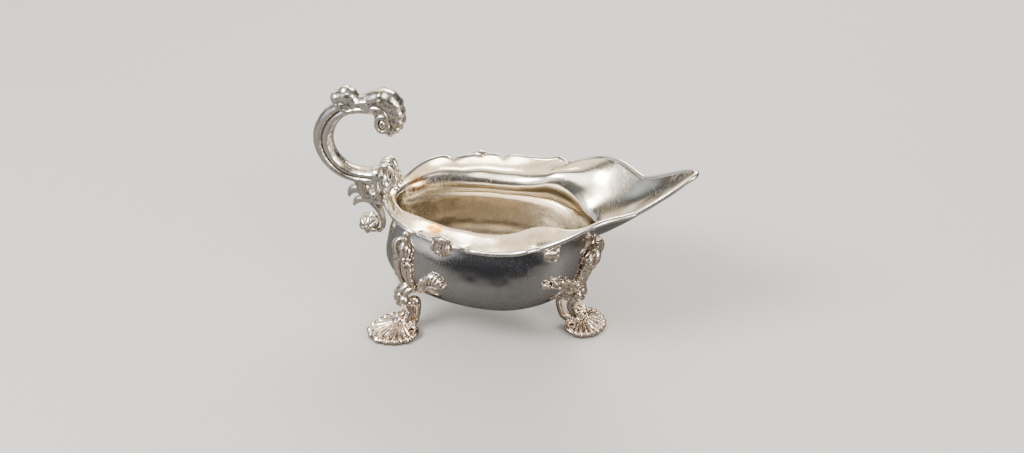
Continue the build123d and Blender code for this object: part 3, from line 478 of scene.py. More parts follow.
def rim_drop_grid(name, flip, rows, cols):
    x0, half, drop, lean, lobes = RIM_DROPS[name]
    c = chord(RIM_FINE)
    c0 = np.interp(-x0, -RIM_FINE[:, 0], c)
    v = np.linspace(-1, 1, cols)
    # soften the cusps of the rim under the casting
    u = c0 + v * half
    p = np.stack([np.interp(u, c, RIM_FINE[:, k]) for k in range(3)], 1)
    base = p.copy()
    for _ in range(12):
        base[1:-1] = (base[:-2] + base[2:]) / 2
    out = base - [CENTRE_X, 0, 0]; out[:, 2] = 0
    out /= np.linalg.norm(out, axis=1)[:, None]
    low = np.minimum(p[:, 2], base[:, 2])
    t = np.linspace(0, 1, rows)[:, None]
    edge = drop * (1 - 0.78 * np.abs(v) ** 2.4) * (1 + 0.06 * np.cos(v * math.pi * lobes))
    z = (low - RIM_WIRE_R * 2 - 0.15)[None] - t * edge[None]
    narrow = 1 - 0.16 * t
    mid = base[len(base) // 2]
    xy = mid[:2] + (base[None, :, :2] - mid[:2]) * narrow[..., None]
    rib = 0.45 * np.cos(v[None] * math.pi * lobes) * np.clip(t * 1.6, 0, 1)
    outer = -0.7 + lean * np.sin(t * math.pi * 0.8) + rib + 0.5 * np.clip(1 - v[None] ** 2, 0, 1) * np.sin(math.pi * np.clip(t + 0.15, 0, 1))
    inner = np.minimum(outer - 1.1, -2.0 + lean * np.sin(t * math.pi * 0.8))
    res = []
    for off in (outer, inner):
        g = np.empty((rows, cols, 3))
        g[:, :, :2] = xy + out[None, :, :2] * off[..., None]
        g[:, :, 2] = z
        g[:, :, 1] *= flip
        res.append(g)
    return res

# ---------------------------------------------------------------- mesh kit
SHIFT = np.array([4.95, 0.0, 0.0])


def lattice(ix, iy, iz, seed):
    h = (ix * 374761393 + iy * 668265263 + iz * 2147483647 + seed * 1274126177) & 0xFFFFFFFF
    h = ((h ^ (h >> 13)) * 1274126177) & 0xFFFFFFFF
    h = ((h ^ (h >> 16)) * 2246822519) & 0xFFFFFFFF
    return ((h ^ (h >> 15)) & 0xFFFF) / 32767.5 - 1.0


def noise3(p, freq, seed=0):
    """Smooth value noise, about -1..1, at points p (n, 3)."""
    q = np.asarray(p, float) * freq + 1000.0
    i = np.floor(q).astype(np.int64); f = q - i
    f = f * f * f * (f * (f * 6 - 15) + 10)
    out = 0
    for dx in (0, 1):
        wx = f[:, 0] if dx else 1 - f[:, 0]
        for dy in (0, 1):
            wy = f[:, 1] if dy else 1 - f[:, 1]
            for dz in (0, 1):
                wz = f[:, 2] if dz else 1 - f[:, 2]
                out = out + wx * wy * wz * lattice(i[:, 0] + dx, i[:, 1] + dy, i[:, 2] + dz, seed)
    return out


def new_object(name, verts_mm, faces, smooth=True):
    me = bpy.data.meshes.new(name)
    v = (np.asarray(verts_mm, float) + SHIFT) / 1000.0
    me.from_pydata(v.tolist(), [], faces)
    me.validate()
    me.update()
    if smooth:
        me.polygons.foreach_set("use_smooth", [True] * len(me.polygons))
    ob = bpy.data.objects.new(name, me)
    bpy.context.scene.collection.objects.link(ob)
    return ob


def grid_faces(rows, cols, wrap_cols, offset=0, flip=False):
    out = []
    last = cols if wrap_cols else cols - 1
    for i in range(rows - 1):
        for j in range(last):
            k = (j + 1) % cols
            q = [offset + i * cols + j, offset + i * cols + k, offset + (i + 1) * cols + k, offset + (i + 1) * cols + j]
            out.append(q[::-1] if flip else q)
    return out


def verts_of(me):
    co = np.empty(len(me.vertices) * 3)
    me.vertices.foreach_get("co", co)
    return co.reshape(-1, 3)


def normals_of(me):
    n = np.empty(len(me.vertices) * 3)
    me.vertices.foreach_get("normal", n)
    return n.reshape(-1, 3)


def outward(ob):
    """Makes every face of a closed mesh look outward."""
    bm = bmesh.new(); bm.from_mesh(ob.data)
    bmesh.ops.recalc_face_normals(bm, faces=bm.faces)
    if bm.calc_volume(signed=True) < 0:
        bmesh.ops.reverse_faces(bm, faces=bm.faces)
    bm.to_mesh(ob.data); bm.free()
    ob.data.update()


def cavity(ob, passes=(3, 14)):
    """Stores how far each point stands above (+) or below (-) its smoothed surroundings, in millimetres, as attribute 'relief'."""
    me = ob.data
    e = np.empty(len(me.edges) * 2, np.int64); me.edges.foreach_get("vertices", e); e = e.reshape(-1, 2)
    co, no = verts_of(me) * 1000, normals_of(me)
    deg = np.zeros(len(co)); np.add.at(deg, e[:, 0], 1); np.add.at(deg, e[:, 1], 1)
    deg = np.maximum(deg, 1)[:, None]
    cur, total = co.copy(), 0
    for k in range(max(passes)):
        s = np.zeros_like(cur)
        for a in range(3):
            s[:, a] = np.bincount(e[:, 0], cur[e[:, 1], a], len(cur)) + np.bincount(e[:, 1], cur[e[:, 0], a], len(cur))
        cur = 0.3 * cur + 0.7 * s / deg
        if k + 1 in passes:
            total = total + ((co - cur) * no).sum(1)
    at = me.attributes.get("relief") or me.attributes.new("relief", "FLOAT", "POINT")
    at.data.foreach_set("value", total.astype(np.float32))
    return total


class Sculpt:
    """Collects overlapping closed forms, in millimetres, and fuses them into one skin."""

    def __init__(self):
        self.v, self.f, self.n = [], [], 0

    def add(self, verts, faces):
        self.v.append(np.asarray(verts, float)); self.f += [[i + self.n for i in q] for q in faces]; self.n += len(verts)

    def rings(self, rings):
        rings = np.asarray(rings, float)
        r, c, _ = rings.shape
        v = np.vstack([rings.reshape(-1, 3), rings[0].mean(0)[None], rings[-1].mean(0)[None]])
        f = grid_faces(r, c, True)
        a, b = r * c, r * c + 1
        for j in range(c):
            k = (j + 1) % c
            f.append([a, k, j]); f.append([b, (r - 1) * c + j, (r - 1) * c + k])
        self.add(v, f)

    def slab(self, top, bottom):
        r, c, _ = top.shape
        v = np.vstack([top.reshape(-1, 3), bottom.reshape(-1, 3)])
        f = grid_faces(r, c, False) + grid_faces(r, c, False, r * c, True)
        for i in range(r - 1):
            for j in (0, c - 1):
                q = [i * c + j, (i + 1) * c + j, r * c + (i + 1) * c + j, r * c + i * c + j]
                f.append(q if j == 0 else q[::-1])
        for j in range(c - 1):
            for i in (0, r - 1):
                q = [i * c + j, i * c + j + 1, r * c + i * c + j + 1, r * c + i * c + j]
                f.append(q[::-1] if i == 0 else q)
        self.add(v, f)

    def ball(self, c, r, axes=None):
        """Ellipsoid: r is a radius or three; axes are three unit rows."""
        r = np.array([r, r, r], float) if np.isscalar(r) else np.asarray(r, float)
        axes = np.eye(3) if axes is None else np.asarray(axes, float)
        la, lo = np.linspace(0, math.pi, 11)[1:-1], np.arange(16) * math.pi / 8
        u = [[0, 0, 1.0]] + [[math.sin(a) * math.cos(b), math.sin(a) * math.sin(b), math.cos(a)] for a in la for b in lo] + [[0, 0, -1.0]]
        v = np.asarray(c, float) + (np.array(u) * r) @ axes
        f = [[0, 1 + (j + 1) % 16, 1 + j][::-1] for j in range(16)]
        for i in range(8):
            for j in range(16):
                k = (j + 1) % 16
                f.append([1 + i * 16 + j, 1 + (i + 1) * 16 + j, 1 + (i + 1) * 16 + k, 1 + i * 16 + k])
        e = len(u) - 1
        f += [[e, 1 + 8 * 16 + (j + 1) % 16, 1 + 8 * 16 + j][::-1] for j in range(16)]
        if np.linalg.det(axes) < 0:
            f = [q[::-1] for q in f]
        self.add(v, f)

    def path(self, pts, radii, m=14, steps=None, flat=None):
        """Round (or flattened) tube with rounded ends along any 3-D path."""
        p = np.asarray(pts, float)
        c = chord(p)
        n = steps or max(6, int(c[-1] / 0.6))
        q = np.linspace(0, c[-1], n)
        s = spline(c, p, q)
        rad = np.interp(q, c, np.broadcast_to(radii, len(p)))
        t = np.gradient(s, axis=0); t /= np.linalg.norm(t, axis=1)[:, None]
        up = np.array([0.0, 0, 1]) if flat is None else np.asarray(flat[0], float)
        if abs(t[0] @ up) > 0.9 and flat is None:
            up = np.array([1.0, 0, 0])
        rings = []
        for i in range(n):
            side = np.cross(t[i], up); side /= np.linalg.norm(side)
            nn = np.cross(side, t[i])
            ph = np.arange(m) * 2 * math.pi / m
            k = 1.0 if flat is None else flat[1]
            rings.append(s[i] + rad[i] * (np.outer(np.cos(ph), side) + k * np.outer(np.sin(ph), nn)))
        rings = np.array(rings)
        for e, sgn in ((0, -1), (-1, 1)):
            r0 = rings[e]; cen = r0.mean(0)
            caps = [cen + (r0 - cen) * math.cos(a) + t[e] * sgn * rad[e] * math.sin(a) for a in (0.5, 1.0, 1.35)]
            rings = np.vstack([np.array(caps[::-1]), rings]) if e == 0 else np.vstack([rings, np.array(caps)])
        self.rings(rings[::-1])

    def build(self, name, voxel=0.3, smooth=2, rough=((0.06, 0.9), (0.03, 2.2)), seed=1, clip_low=None, clip_bowl=None):
        me = bpy.data.meshes.new(name + "_raw")
        me.from_pydata(np.vstack(self.v).tolist(), [], self.f)
        me.update()
        tmp = bpy.data.objects.new(name + "_raw", me)
        bpy.context.scene.collection.objects.link(tmp)
        bm = bmesh.new(); bm.from_mesh(me); bmesh.ops.recalc_face_normals(bm, faces=bm.faces); bm.to_mesh(me); bm.free()
        mod = tmp.modifiers.new("fuse", "REMESH"); mod.mode = "VOXEL"; mod.voxel_size = voxel
        if smooth:
            sm = tmp.modifiers.new("soften", "SMOOTH"); sm.factor = 0.5; sm.iterations = smooth
        dg = bpy.context.evaluated_depsgraph_get()
        out = bpy.data.meshes.new_from_object(tmp.evaluated_get(dg), depsgraph=dg)
        bpy.data.objects.remove(tmp)
        co, no = verts_of(out), normals_of(out)
        d = sum(a * noise3(co, f, seed + 7 * k) for k, (a, f) in enumerate(rough)) if rough else 0
        co = co + no * np.reshape(d, (-1, 1)) if rough else co
        if clip_low is not None:
            co[:, 2] = np.maximum(co[:, 2], clip_low)
        if clip_bowl is not None:
            co = keep_off_bowl(co, clip_bowl)
        out.vertices.foreach_set("co", ((co + SHIFT) / 1000).ravel())
        out.name = name
        out.update()
        out.polygons.foreach_set("use_smooth", [True] * len(out.polygons))
        ob = bpy.data.objects.new(name, out)
        bpy.context.scene.collection.objects.link(ob)
        cavity(ob)
        return ob


def keep_off_bowl(co, depth):
    """Pushes points that have sunk more than depth into the wall of the bowl back out to that depth."""
    th = np.degrees(np.arctan2(co[:, 1], co[:, 0] - CENTRE_X))
    z = np.clip(co[:, 2], 18.6, 65)
    s = surf(th, z)
    rs, r = np.hypot(s[:, 0] - CENTRE_X, s[:, 1]), np.hypot(co[:, 0] - CENTRE_X, co[:, 1])
    want = rs - depth
    k = np.where((r < want) & (co[:, 2] > 19) & (co[:, 2] < 65), want / np.maximum(r, 1e-6), 1.0)
    out = co.copy()
    out[:, 0] = CENTRE_X + (co[:, 0] - CENTRE_X) * k
    out[:, 1] = co[:, 1] * k
    return out


def unit(v):
    v = np.asarray(v, float)
    return v / np.linalg.norm(v)


# ---------------------------------------------------------------- bowl and edge wire
def full_loop(half):
    """Closes a half grid (columns first) over the -Y side. Columns at both ends lie in the middle plane."""
    far = half[1:-1][::-1] * np.array([1, -1, 1])
    return np.vstack([half, far])


def make_bowl():
    rim = rim_half(0.85)
    n = 120
    outer, inner = [], []
    for rp in rim:
        th = math.atan2(abs(rp[1]), rp[0] - CENTRE_X)
        p, t = section(rp, 400)
        c = chord(p)
        q = np.linspace(0, c[-1] - 1.7, n)
        o = np.stack([np.interp(q, c, p[:, 0]), np.interp(q, c, p[:, 1])], 1)
        tt = np.stack([np.interp(q, c, t[:, 0]), np.interp(q, c, t[:, 1])], 1)
        tt /= np.linalg.norm(tt, axis=1)[:, None]
        i = o + np.stack([-tt[:, 1], tt[:, 0]], 1) * WALL
        i[0] = [o[0, 0] - 0.35, o[0, 1] + WALL]
        cs, sn = math.cos(th), math.sin(th)
        if rp[1] == 0:
            cs, sn = (1.0 if rp[0] > 0 else -1.0), 0.0
        outer.append(np.stack([CENTRE_X + o[:, 0] * cs, o[:, 0] * sn, o[:, 1]], 1))
        inner.append(np.stack([CENTRE_X + i[:, 0] * cs, i[:, 0] * sn, i[:, 1]], 1))
    outer, inner = full_loop(np.array(outer)), full_loop(np.array(inner))
    m = len(outer)
    # rows running to the middle of the floor
    def floor_rows(edge, k=22):
        c = np.array([CENTRE_X - 2, 0, edge[0, 2]])
        return np.array([c + (edge - c) * f for f in np.linspace(0.04, 1, k, endpoint=False)])
    o_rows = np.vstack([floor_rows(outer[:, 0]), outer.transpose(1, 0, 2)])
    i_rows = np.vstack([floor_rows(inner[:, 0]), inner.transpose(1, 0, 2)])
    # rounded lip between the two faces
    a, b = outer[:, -1], inner[:, -1]
    outdir = outer[:, -1] - outer[:, -3]; outdir /= np.linalg.norm(outdir, axis=1)[:, None]
    lip = [(a + b) / 2 + (a - b) / 2 * math.cos(t) + outdir * WALL * 0.5 * math.sin(t) for t in np.linspace(0, math.pi, 7)[1:-1]]
    rows = np.vstack([o_rows, np.array(lip), i_rows[::-1]])
    # planishing: the raised wall is never quite true
    mid = rows.reshape(-1, 3)
    base = mid.copy()
    # both faces move together: sample by plan place and height of the outer face
    key = base.copy()
    nr = len(o_rows)
    key_rows = rows.copy(); key_rows[nr + len(lip):] = o_rows[::-1]
    for k in range(len(lip)):
        key_rows[nr + k] = o_rows[-1]
    key = key_rows.reshape(-1, 3)
    d = 0.16 * noise3(key, 1 / 17.0, 3) + 0.09 * noise3(key, 1 / 8.0, 5) + 0.030 * noise3(key, 1 / 3.6, 9)
    # direction: the section normal of the outer face
    du = np.roll(o_rows, -1, 1) - np.roll(o_rows, 1, 1)
    dv = np.gradient(o_rows, axis=0)
    nn = np.cross(du, dv); nn /= np.maximum(np.linalg.norm(nn, axis=2), 1e-9)[..., None]
    nk = np.vstack([nn, np.repeat(nn[-1:], len(lip), 0), nn[::-1]]).reshape(-1, 3)
    pts = mid + nk * d[:, None]
    v = np.vstack([pts, pts[:m].mean(0)[None], pts[-m:].mean(0)[None]])
    r = len(rows)
    f = grid_faces(r, m, True)
    e0, e1 = r * m, r * m + 1
    for j in range(m):
        k = (j + 1) % m
        f.append([e0, k, j]); f.append([e1, (r - 1) * m + j, (r - 1) * m + k])
    ob = new_object("bowl_body", v, f)
    outward(ob)
    inside = np.zeros(len(v)); inside[(nr + 2) * m:r * m] = 1; inside[e1] = 1
    at = ob.data.attributes.new("inside", "FLOAT", "POINT"); at.data.foreach_set("value", inside.astype(np.float32))
    cavity(ob, (4, 20))
    return ob


def edge_line(step, back):
    """Closed line of the bowl's edge, drawn back along the wall by back mm, with the wall's outward and upward directions."""
    rim = rim_half(step)
    p, o = [], []
    for rp in rim:
        th = math.atan2(abs(rp[1]), rp[0] - CENTRE_X)
        s, t = section(rp, 300)
        c = chord(s)
        q = c[-1] - back
        r, z = np.interp(q, c, s[:, 0]), np.interp(q, c, s[:, 1])
        tr, tz = np.interp(q, c, t[:, 0]), np.interp(q, c, t[:, 1])
        cs, sn = math.cos(th), math.sin(th)
        if rp[1] == 0:
            cs, sn = (1.0 if rp[0] > 0 else -1.0), 0.0
        nr, nz = -tz, tr
        p.append([CENTRE_X + (r + nr * WALL / 2) * cs, (r + nr * WALL / 2) * sn, z + nz * WALL / 2])
        o.append([tr * cs, tr * sn, tz])
    return full_loop(np.array(p)), full_loop(np.array(o))


def make_rim_wire():
    p, o = edge_line(0.6, RIM_WIRE_R)
    n = len(p)
    t = np.roll(p, -1, 0) - np.roll(p, 1, 0)
    for _ in range(3):
        t = (np.roll(t, 1, 0) + 2 * t + np.roll(t, -1, 0)) / 4
    t /= np.linalg.norm(t, axis=1)[:, None]
    o = o - (o * t).sum(1)[:, None] * t
    ln = np.linalg.norm(o, axis=1)
    o /= ln[:, None]
    up = np.cross(t, o); up *= np.sign(up[:, 2])[:, None]
    m = 28
    ph = np.arange(m) * 2 * math.pi / m
    # a half-round outside with a small bead along the inside of the edge
    rad = 1.42 + 0.10 * noise3(p, 1 / 11.0, 21) + 0.05 * noise3(p, 1 / 3.0, 22)
    prof = 1 - 0.13 * np.exp(-((ph - 2.05) / 0.24) ** 2)
    rings = p[:, None] + rad[:, None, None] * ((1.06 * np.cos(ph) * prof)[None, :, None] * o[:, None] + (0.98 * np.sin(ph) * prof)[None, :, None] * up[:, None])
    rows = rings.reshape(-1, 3)
    f = grid_faces(n, m, True)
    for j in range(m):
        k = (j + 1) % m
        f.append([(n - 1) * m + j, (n - 1) * m + k, k, j])
    rows = rows + 0.0
    ob = new_object("rim_wire_edge", rows, f)
    outward(ob)
    cavity(ob, (3, 10))
    return ob


# ---------------------------------------------------------------- handle
def make_handle():
    out = {}
    m = 72
    # main scroll: two reeds with a cut groove between, cast grain below
    g = lambda ph, t: 1 - 0.33 * np.exp(-(np.cos(ph) / 0.22) ** 2) * (0.35 + 0.65 * min(1.0, t * 9)) + 0.05 * np.exp(-(np.abs(np.cos(ph)) - 0.55) ** 2 / 0.03)
    rings = tube(HANDLE, np.array(HANDLE_A) * 1.0, np.array(HANDLE_B) * 1.06, SIDE, 190, m, g)
    s = Sculpt(); s.rings(rings)
    # lump where scroll and leaf meet
    s.ball((-70.2, 0, 80.6), (4.6, 4.9, 4.4)); s.ball((-67.6, 0, 79.4), (4.2, 4.6, 4.6))
    s.ball((-66.2, 0, 75.8), (3.4, 4.8, 3.8))
    out["handle_scroll"] = s.build("handle_scroll_body", 0.30, 1, ((0.05, 0.5), (0.035, 1.3)), 31)
    # volute head with sunk eye and a row of lumps down its face
    s = Sculpt()
    vol = tube(VOLUTE, VOLUTE_A, np.array(VOLUTE_B) * 0.92, SIDE, 90, 48, lambda ph, t: 1 - 0.14 * np.exp(-(np.cos(ph) / 0.25) ** 2) * (1 - 0.5 * t))
    s.rings(vol)
    s.ball((-71.8, 0, 122.0), (5.6, 4.9, 5.6)); s.ball((-74.6, 0, 121.8), (4.4, 4.6, 5.0))
    s.ball((-65.2, 0, 117.6), (5.4, 4.5, 8.6)); s.ball((-65.6, 0, 112.0), (4.6, 4.3, 5.0)); s.ball((-68.4, 0, 118.4), (2.6, 4.0, 3.6))
    s.ball((-66.0, 0, 127.0), (4.4, 4.4, 4.0)); s.ball((-61.6, 0, 126.2), (4.0, 4.4, 3.6))
    for x, z, r in ((-58.4, 123.6, 3.5), (-57.0, 119.2, 3.0), (-56.8, 114.6, 2.9), (-58.4, 110.4, 2.8), (-61.8, 107.6, 2.6), (-66.0, 128.4, 3.0)):
        s.ball((x, 0, z), (r, 4.9, r))
    for y in (-1, 1):
        for x, z, r in ((-61.0, 123.4, 2.0), (-59.4, 119.2, 1.9), (-59.2, 114.8, 1.8), (-60.6, 110.6, 1.7), (-65.6, 125.8, 2.1)):
            s.ball((x, 3.7 * y, z), (r * 1.15, r, r * 1.15))
    for y in (-1, 1):
        ring = [(-65.2 + 3.1 * math.sin(a), 4.5 * y, 113.2 + 4.3 * math.cos(a)) for a in np.linspace(0.3, 2 * math.pi + 0.1, 15)]
        s.path(ring, 1.1)
        s.ball((-65.0, 4.4 * y, 113.0), (1.7, 1.4, 2.3))
        s.path([(-74.0, 3.6 * y, 121.4), (-70.0, 4.2 * y, 121.6), (-66.2, 4.4 * y, 121.6), (-63.2, 4.6 * y, 119.4), (-62.0, 4.6 * y, 116.0)], [0.9, 1.1, 1.1, 1.0, 0.7])
    out["handle_volute"] = s.build("handle_volute_head", 0.28, 7, ((0.10, 0.45), (0.04, 1.4)), 33)
    # knot: two smooth leaf lumps folded over the scroll
    s = Sculpt()
    s.ball((-88.8, 0, 123.5), (3.9, 4.3, 3.8)); s.ball((-88.2, 0, 120.6), (3.2, 4.8, 3.0))
    s.ball((-83.4, 0, 125.0), (5.6, 4.9, 4.9)); s.ball((-84.4, 0, 127.6), (3.4, 3.8, 3.2))
    s.ball((-84.8, 0, 121.4), (4.8, 5.1, 3.6)); s.ball((-86.2, 0, 124.4), (4.6, 4.3, 3.9)); s.ball((-81.0, 0, 123.4), (4.6, 4.6, 3.8))
    s.ball((-85.4, 0, 119.2), (4.6, 4.9, 3.4)); s.ball((-81.6, 0, 121.2), (4.4, 4.8, 3.2))
    for y in (-1, 1):
        s.path([(-86.6, 3.6 * y, 122.0), (-85.4, 4.4 * y, 119.6), (-83.2, 4.6 * y, 118.4), (-80.6, 4.5 * y, 119.4)], [1.0, 1.2, 1.2, 0.8])
    out["handle_knot"] = s.build("handle_leaf_knot", 0.28, 9, ((0.22, 0.22), (0.08, 0.6)), 35)
    # upright leaf: a cupped shell, hollow on both flat sides
    s = Sculpt()
    s.ball((-64.6, 0, 82.4), (3.6, 2.6, 7.0)); s.ball((-64.6, 0, 75.6), (4.2, 4.4, 2.9))
    for y in (-1, 1):
        ring = [(-64.8 + (3.5 + 0.5 * math.cos(a * 0.5)) * math.sin(a), (3.0 + 0.7 * math.cos(2 * a)) * y, 82.0 + 6.3 * math.cos(a)) for a in np.linspace(-math.pi + 0.1, math.pi - 0.1, 19)]
        s.path(ring, [1.2, 1.4, 1.5, 1.5, 1.5, 1.5, 1.55, 1.6, 1.7, 1.75, 1.7, 1.6, 1.55, 1.5, 1.5, 1.5, 1.5, 1.4, 1.2])
        s.path([(-63.0, 2.7 * y, 77.6), (-64.6, 2.5 * y, 82.0), (-64.2, 2.6 * y, 86.0)], [0.9, 0.8, 0.7])
        s.path([(-60.6, 2.4 * y, 76.0), (-59.8, 3.2 * y, 79.4), (-60.4, 2.8 * y, 82.6)], [1.5, 1.5, 1.0])
        s.ball((-59.4, 3.2 * y, 75.2), (1.9, 1.9, 1.6))
    s.ball((-65.2, 0, 87.8), (2.2, 3.0, 1.9))
    out["handle_leaf"] = s.build("handle_upright_leaf", 0.26, 4, ((0.08, 0.5), (0.03, 1.6)), 37)
    # drop, neck, thorns
    gg = lambda ph, t: 1 - 0.2 * np.exp(-(np.cos(ph) / 0.3) ** 2)
    s = Sculpt()
    s.rings(tube([(-80.6, 0, 77.4), (-79.4, 0, 71.6), (-76.2, 0, 66.6), (-72.6, 0, 62.0), (-69.9, 0, 57.4), (-68.8, 0, 52.6), (-69.0, 0, 48.2), (-71.0, 0, 44.8)], [3.2, 2.3, 2.4, 2.1, 1.6, 1.3, 1.3, 0.9], [3.9, 3.3, 3.3, 3.2, 2.8, 2.6, 2.4, 1.5], SIDE, 70, 32, gg))
    s.path([(-79.4, 0, 77.0), (-78.6, 0, 72.6), (-78.0, 0, 69.2)], [3.4, 3.4, 3.4]); s.ball((-77.8, 0, 68.2), (3.2, 3.5, 3.2))
    s.path([(-77.6, 0, 66.2), (-74.0, 0, 65.4), (-70.4, 0, 64.6)], [3.0, 3.3, 3.0]); s.ball((-74.2, 0, 76.2), (5.0, 3.8, 2.4))
    s.ball((-75.8, 0, 68.2), (3.4, 3.3, 3.2)); s.ball((-77.0, 0, 71.8), (3.0, 3.2, 3.4)); s.ball((-73.2, 0, 67.4), (3.4, 3.2, 2.6))
    out["handle_drop"] = s.build("handle_drop_scroll", 0.26, 1, ((0.06, 0.6), (0.03, 1.6)), 39)
    s = Sculpt()
    s.rings(tube([(-70.6, 0, 77.4), (-70.7, 0, 72.2), (-70.0, 0, 68.4), (-67.6, 0, 65.0), (-63.0, 0, 62.6)], [2.6, 2.1, 2.1, 2.4, 2.8], [3.9, 3.5, 3.4, 3.7, 4.6], SIDE, 40, 28))
    s.path([(-71.4, 0, 63.6), (-68.6, 0, 64.6)], [2.0, 2.0])
    out["handle_neck"] = s.build("handle_neck_bar", 0.26, 1, ((0.06, 0.6), (0.03, 1.6)), 41)
    s = Sculpt()
    s.rings(tube([(-78.4, 0, 69.6), (-81.4, 0, 70.6), (-83.9, 0, 69.6), (-85.7, 0, 67.3), (-86.6, 0, 64.6)], [2.6, 2.9, 2.5, 1.6, 0.5], [3.2, 3.0, 2.4, 1.5, 0.6], SIDE, 34, 24))
    out["handle_thorn_upper"] = s.build("handle_thorn_leaf_upper", 0.22, 1, ((0.05, 0.6),), 43)
    s = Sculpt()
    s.rings(tube([(-75.0, 0, 64.2), (-78.4, 0, 64.9), (-81.2, 0, 63.8), (-83.2, 0, 61.6), (-84.2, 0, 59.2)], [2.0, 2.3, 2.1, 1.4, 0.5], [3.0, 2.8, 2.3, 1.5, 0.6], SIDE, 34, 24))
    out["handle_thorn_lower"] = s.build("handle_thorn_leaf_lower", 0.22, 1, ((0.05, 0.6),), 45)
    # rosette: a bud of six petals round a boss, closed towards both sides
    s = Sculpt()
    c = np.array([-76.2, 0, 49.6])
    s.ball(c, (5.4, 4.9, 5.4))
    for y in (-1, 1):
        for k in range(6):
            a = k * math.pi / 3 + 0.35
            d = np.array([math.cos(a), 0, math.sin(a)])
            s.path([c + d * 4.3 + np.array([0, -0.4 * y, 0]), c + d * 4.0 + np.array([0, 2.2 * y, 0]), c + d * 2.2 + np.array([0, 4.3 * y, 0])], [1.2, 1.5, 1.2])
        s.ball(c + np.array([0, 4.2 * y, 0]), 1.9)
    s.path([c + np.array([3.4, 0, -3.0]), (-71.4, 0, 45.2), (-70.2, 0, 46.0)], [1.5, 1.3, 1.3])
    out["handle_rosette"] = s.build("handle_rosette_bud", 0.26, 4, ((0.05, 0.6), (0.03, 1.6)), 47)
    return out


# ---------------------------------------------------------------- legs
def knee_point(leg, t, a, h):
    """A point on the knee cartouche: t along it, a mm across, h mm above the bowl."""
    k = np.array(KNEES[leg], float)
    c = chord(k * [0.8, 1])
    t = np.atleast_1d(np.asarray(t, float)); a = np.broadcast_to(np.asarray(a, float), t.shape); h = np.broadcast_to(np.asarray(h, float), t.shape)
    l = spline(c / c[-1], k, t)
    th = l[:, 0] + a * degrees_per_mm(l[:, 0], l[:, 1])
    return laid(th, l[:, 1], h)


def make_knee(leg, seed):
    wide, deep = KNEE_SIZE[leg]
    g = 0.5 * (wide + deep)
    s = Sculpt()
    rows, cols = 60, 41
    k = np.array(KNEES[leg], float)
    c = chord(k * [0.8, 1])
    t = np.linspace(-0.06, 1, rows)
    line = spline(c / c[-1], k, t)
    v = np.linspace(-1, 1, cols)
    w = (knee_width(np.clip(t, 0, 1)) * np.interp(t, [0, 0.6, 0.75, 1], [0.86, 0.92, 1.02, 1.0]))[:, None]
    a = v[None] * w
    th0, z = line[:, :1], line[:, 1:] + 0 * a
    th = th0 + a * wide * degrees_per_mm(th0 + 0 * a, z)
    h = (1.3 + 0.3 * bump(np.abs(a), w - 0.9, 0.9)) * np.clip(1 - (np.abs(v[None]) ** 8), 0.25, 1)
    s.slab(laid(th, z, h * deep), laid(th, z, -0.5 + 0 * a))
    P = lambda t, a, h: knee_point(leg, t, np.asarray(a, float) * wide, np.asarray(h, float) * deep)
    R = lambda pts, rad: s.path(pts, np.asarray(rad, float) * g)
    B = lambda t, a, h, r: s.ball(P(t, a, h)[0], r * g)
    rng = np.random.default_rng(seed)
    for y in (-1, 1):
        # two strong ribs either side of the hollow, rolled out at the top
        R(P([0.0, 0.16, 0.34, 0.50, 0.58], np.array([2.0, 3.4, 3.7, 3.2, 2.0]) * y, [1.4, 1.5, 1.5, 1.6, 1.8]), [1.6, 1.6, 1.5, 1.5, 1.3])
        R(P([0.08, 0.22, 0.40, 0.54], np.array([5.2, 6.0, 6.2, 6.6]) * y, [0.8, 1.0, 1.1, 1.0]), [1.2, 1.35, 1.35, 1.2])
        # rolled leaves under the shell
        B(0.62, 3.4 * y, 2.0, 1.9); B(0.56, 5.6 * y, 1.7, 1.6); B(0.66, 6.4 * y, 1.4, 1.5)
        B(0.60, 1.1 * y, 1.6, 1.3)
        # shell leaf at the top: overlapping broad lobes with a cleft
        R(P([0.66, 0.75, 0.85, 0.93, 0.985], np.array([1.5, 2.9, 3.1, 2.2, 0.8]) * y, [2.0, 2.5, 2.7, 2.4, 1.6]), [1.7, 2.1, 2.1, 1.7, 1.1])
        R(P([0.69, 0.78, 0.87, 0.93], np.array([4.4, 6.2, 5.8, 4.2]) * y, [1.4, 1.9, 1.8, 1.4]), [1.5, 1.9, 1.7, 1.1])
        B(0.03, 3.9 * y, 1.1, 1.7); B(0.10, 5.4 * y, 1.0, 1.5)
        B(0.20 + 0.05 * rng.random(), 6.7 * y, 1.0, 1.5); B(0.40 + 0.05 * rng.random(), 6.8 * y, 1.0, 1.3)
        # curl of the rib foot
        R(P([-0.04, 0.03, 0.06], np.array([0.8, 2.4, 4.0]) * y, [1.6, 1.9, 1.6]), [1.4, 1.5, 1.2])
    R(P([0.69, 0.80, 0.93], [0, 0, 0], [1.2, 1.7, 1.7]), [1.3, 1.6, 1.1])
    R(P([0.06, 0.28, 0.50], [0, 0, 0], [1.0, 1.0, 1.1]), [1.0, 0.8, 0.9])
    return s.build("knee_mount_" + leg, 0.28, 2, ((0.16, 0.33), (0.06, 1.0)), seed, clip_bowl=0.45)


def L(leg, u, v, z):
    o, d, side, _ = leg_frame(leg)
    return o + d * u + side * v + np.array([0, 0, z])


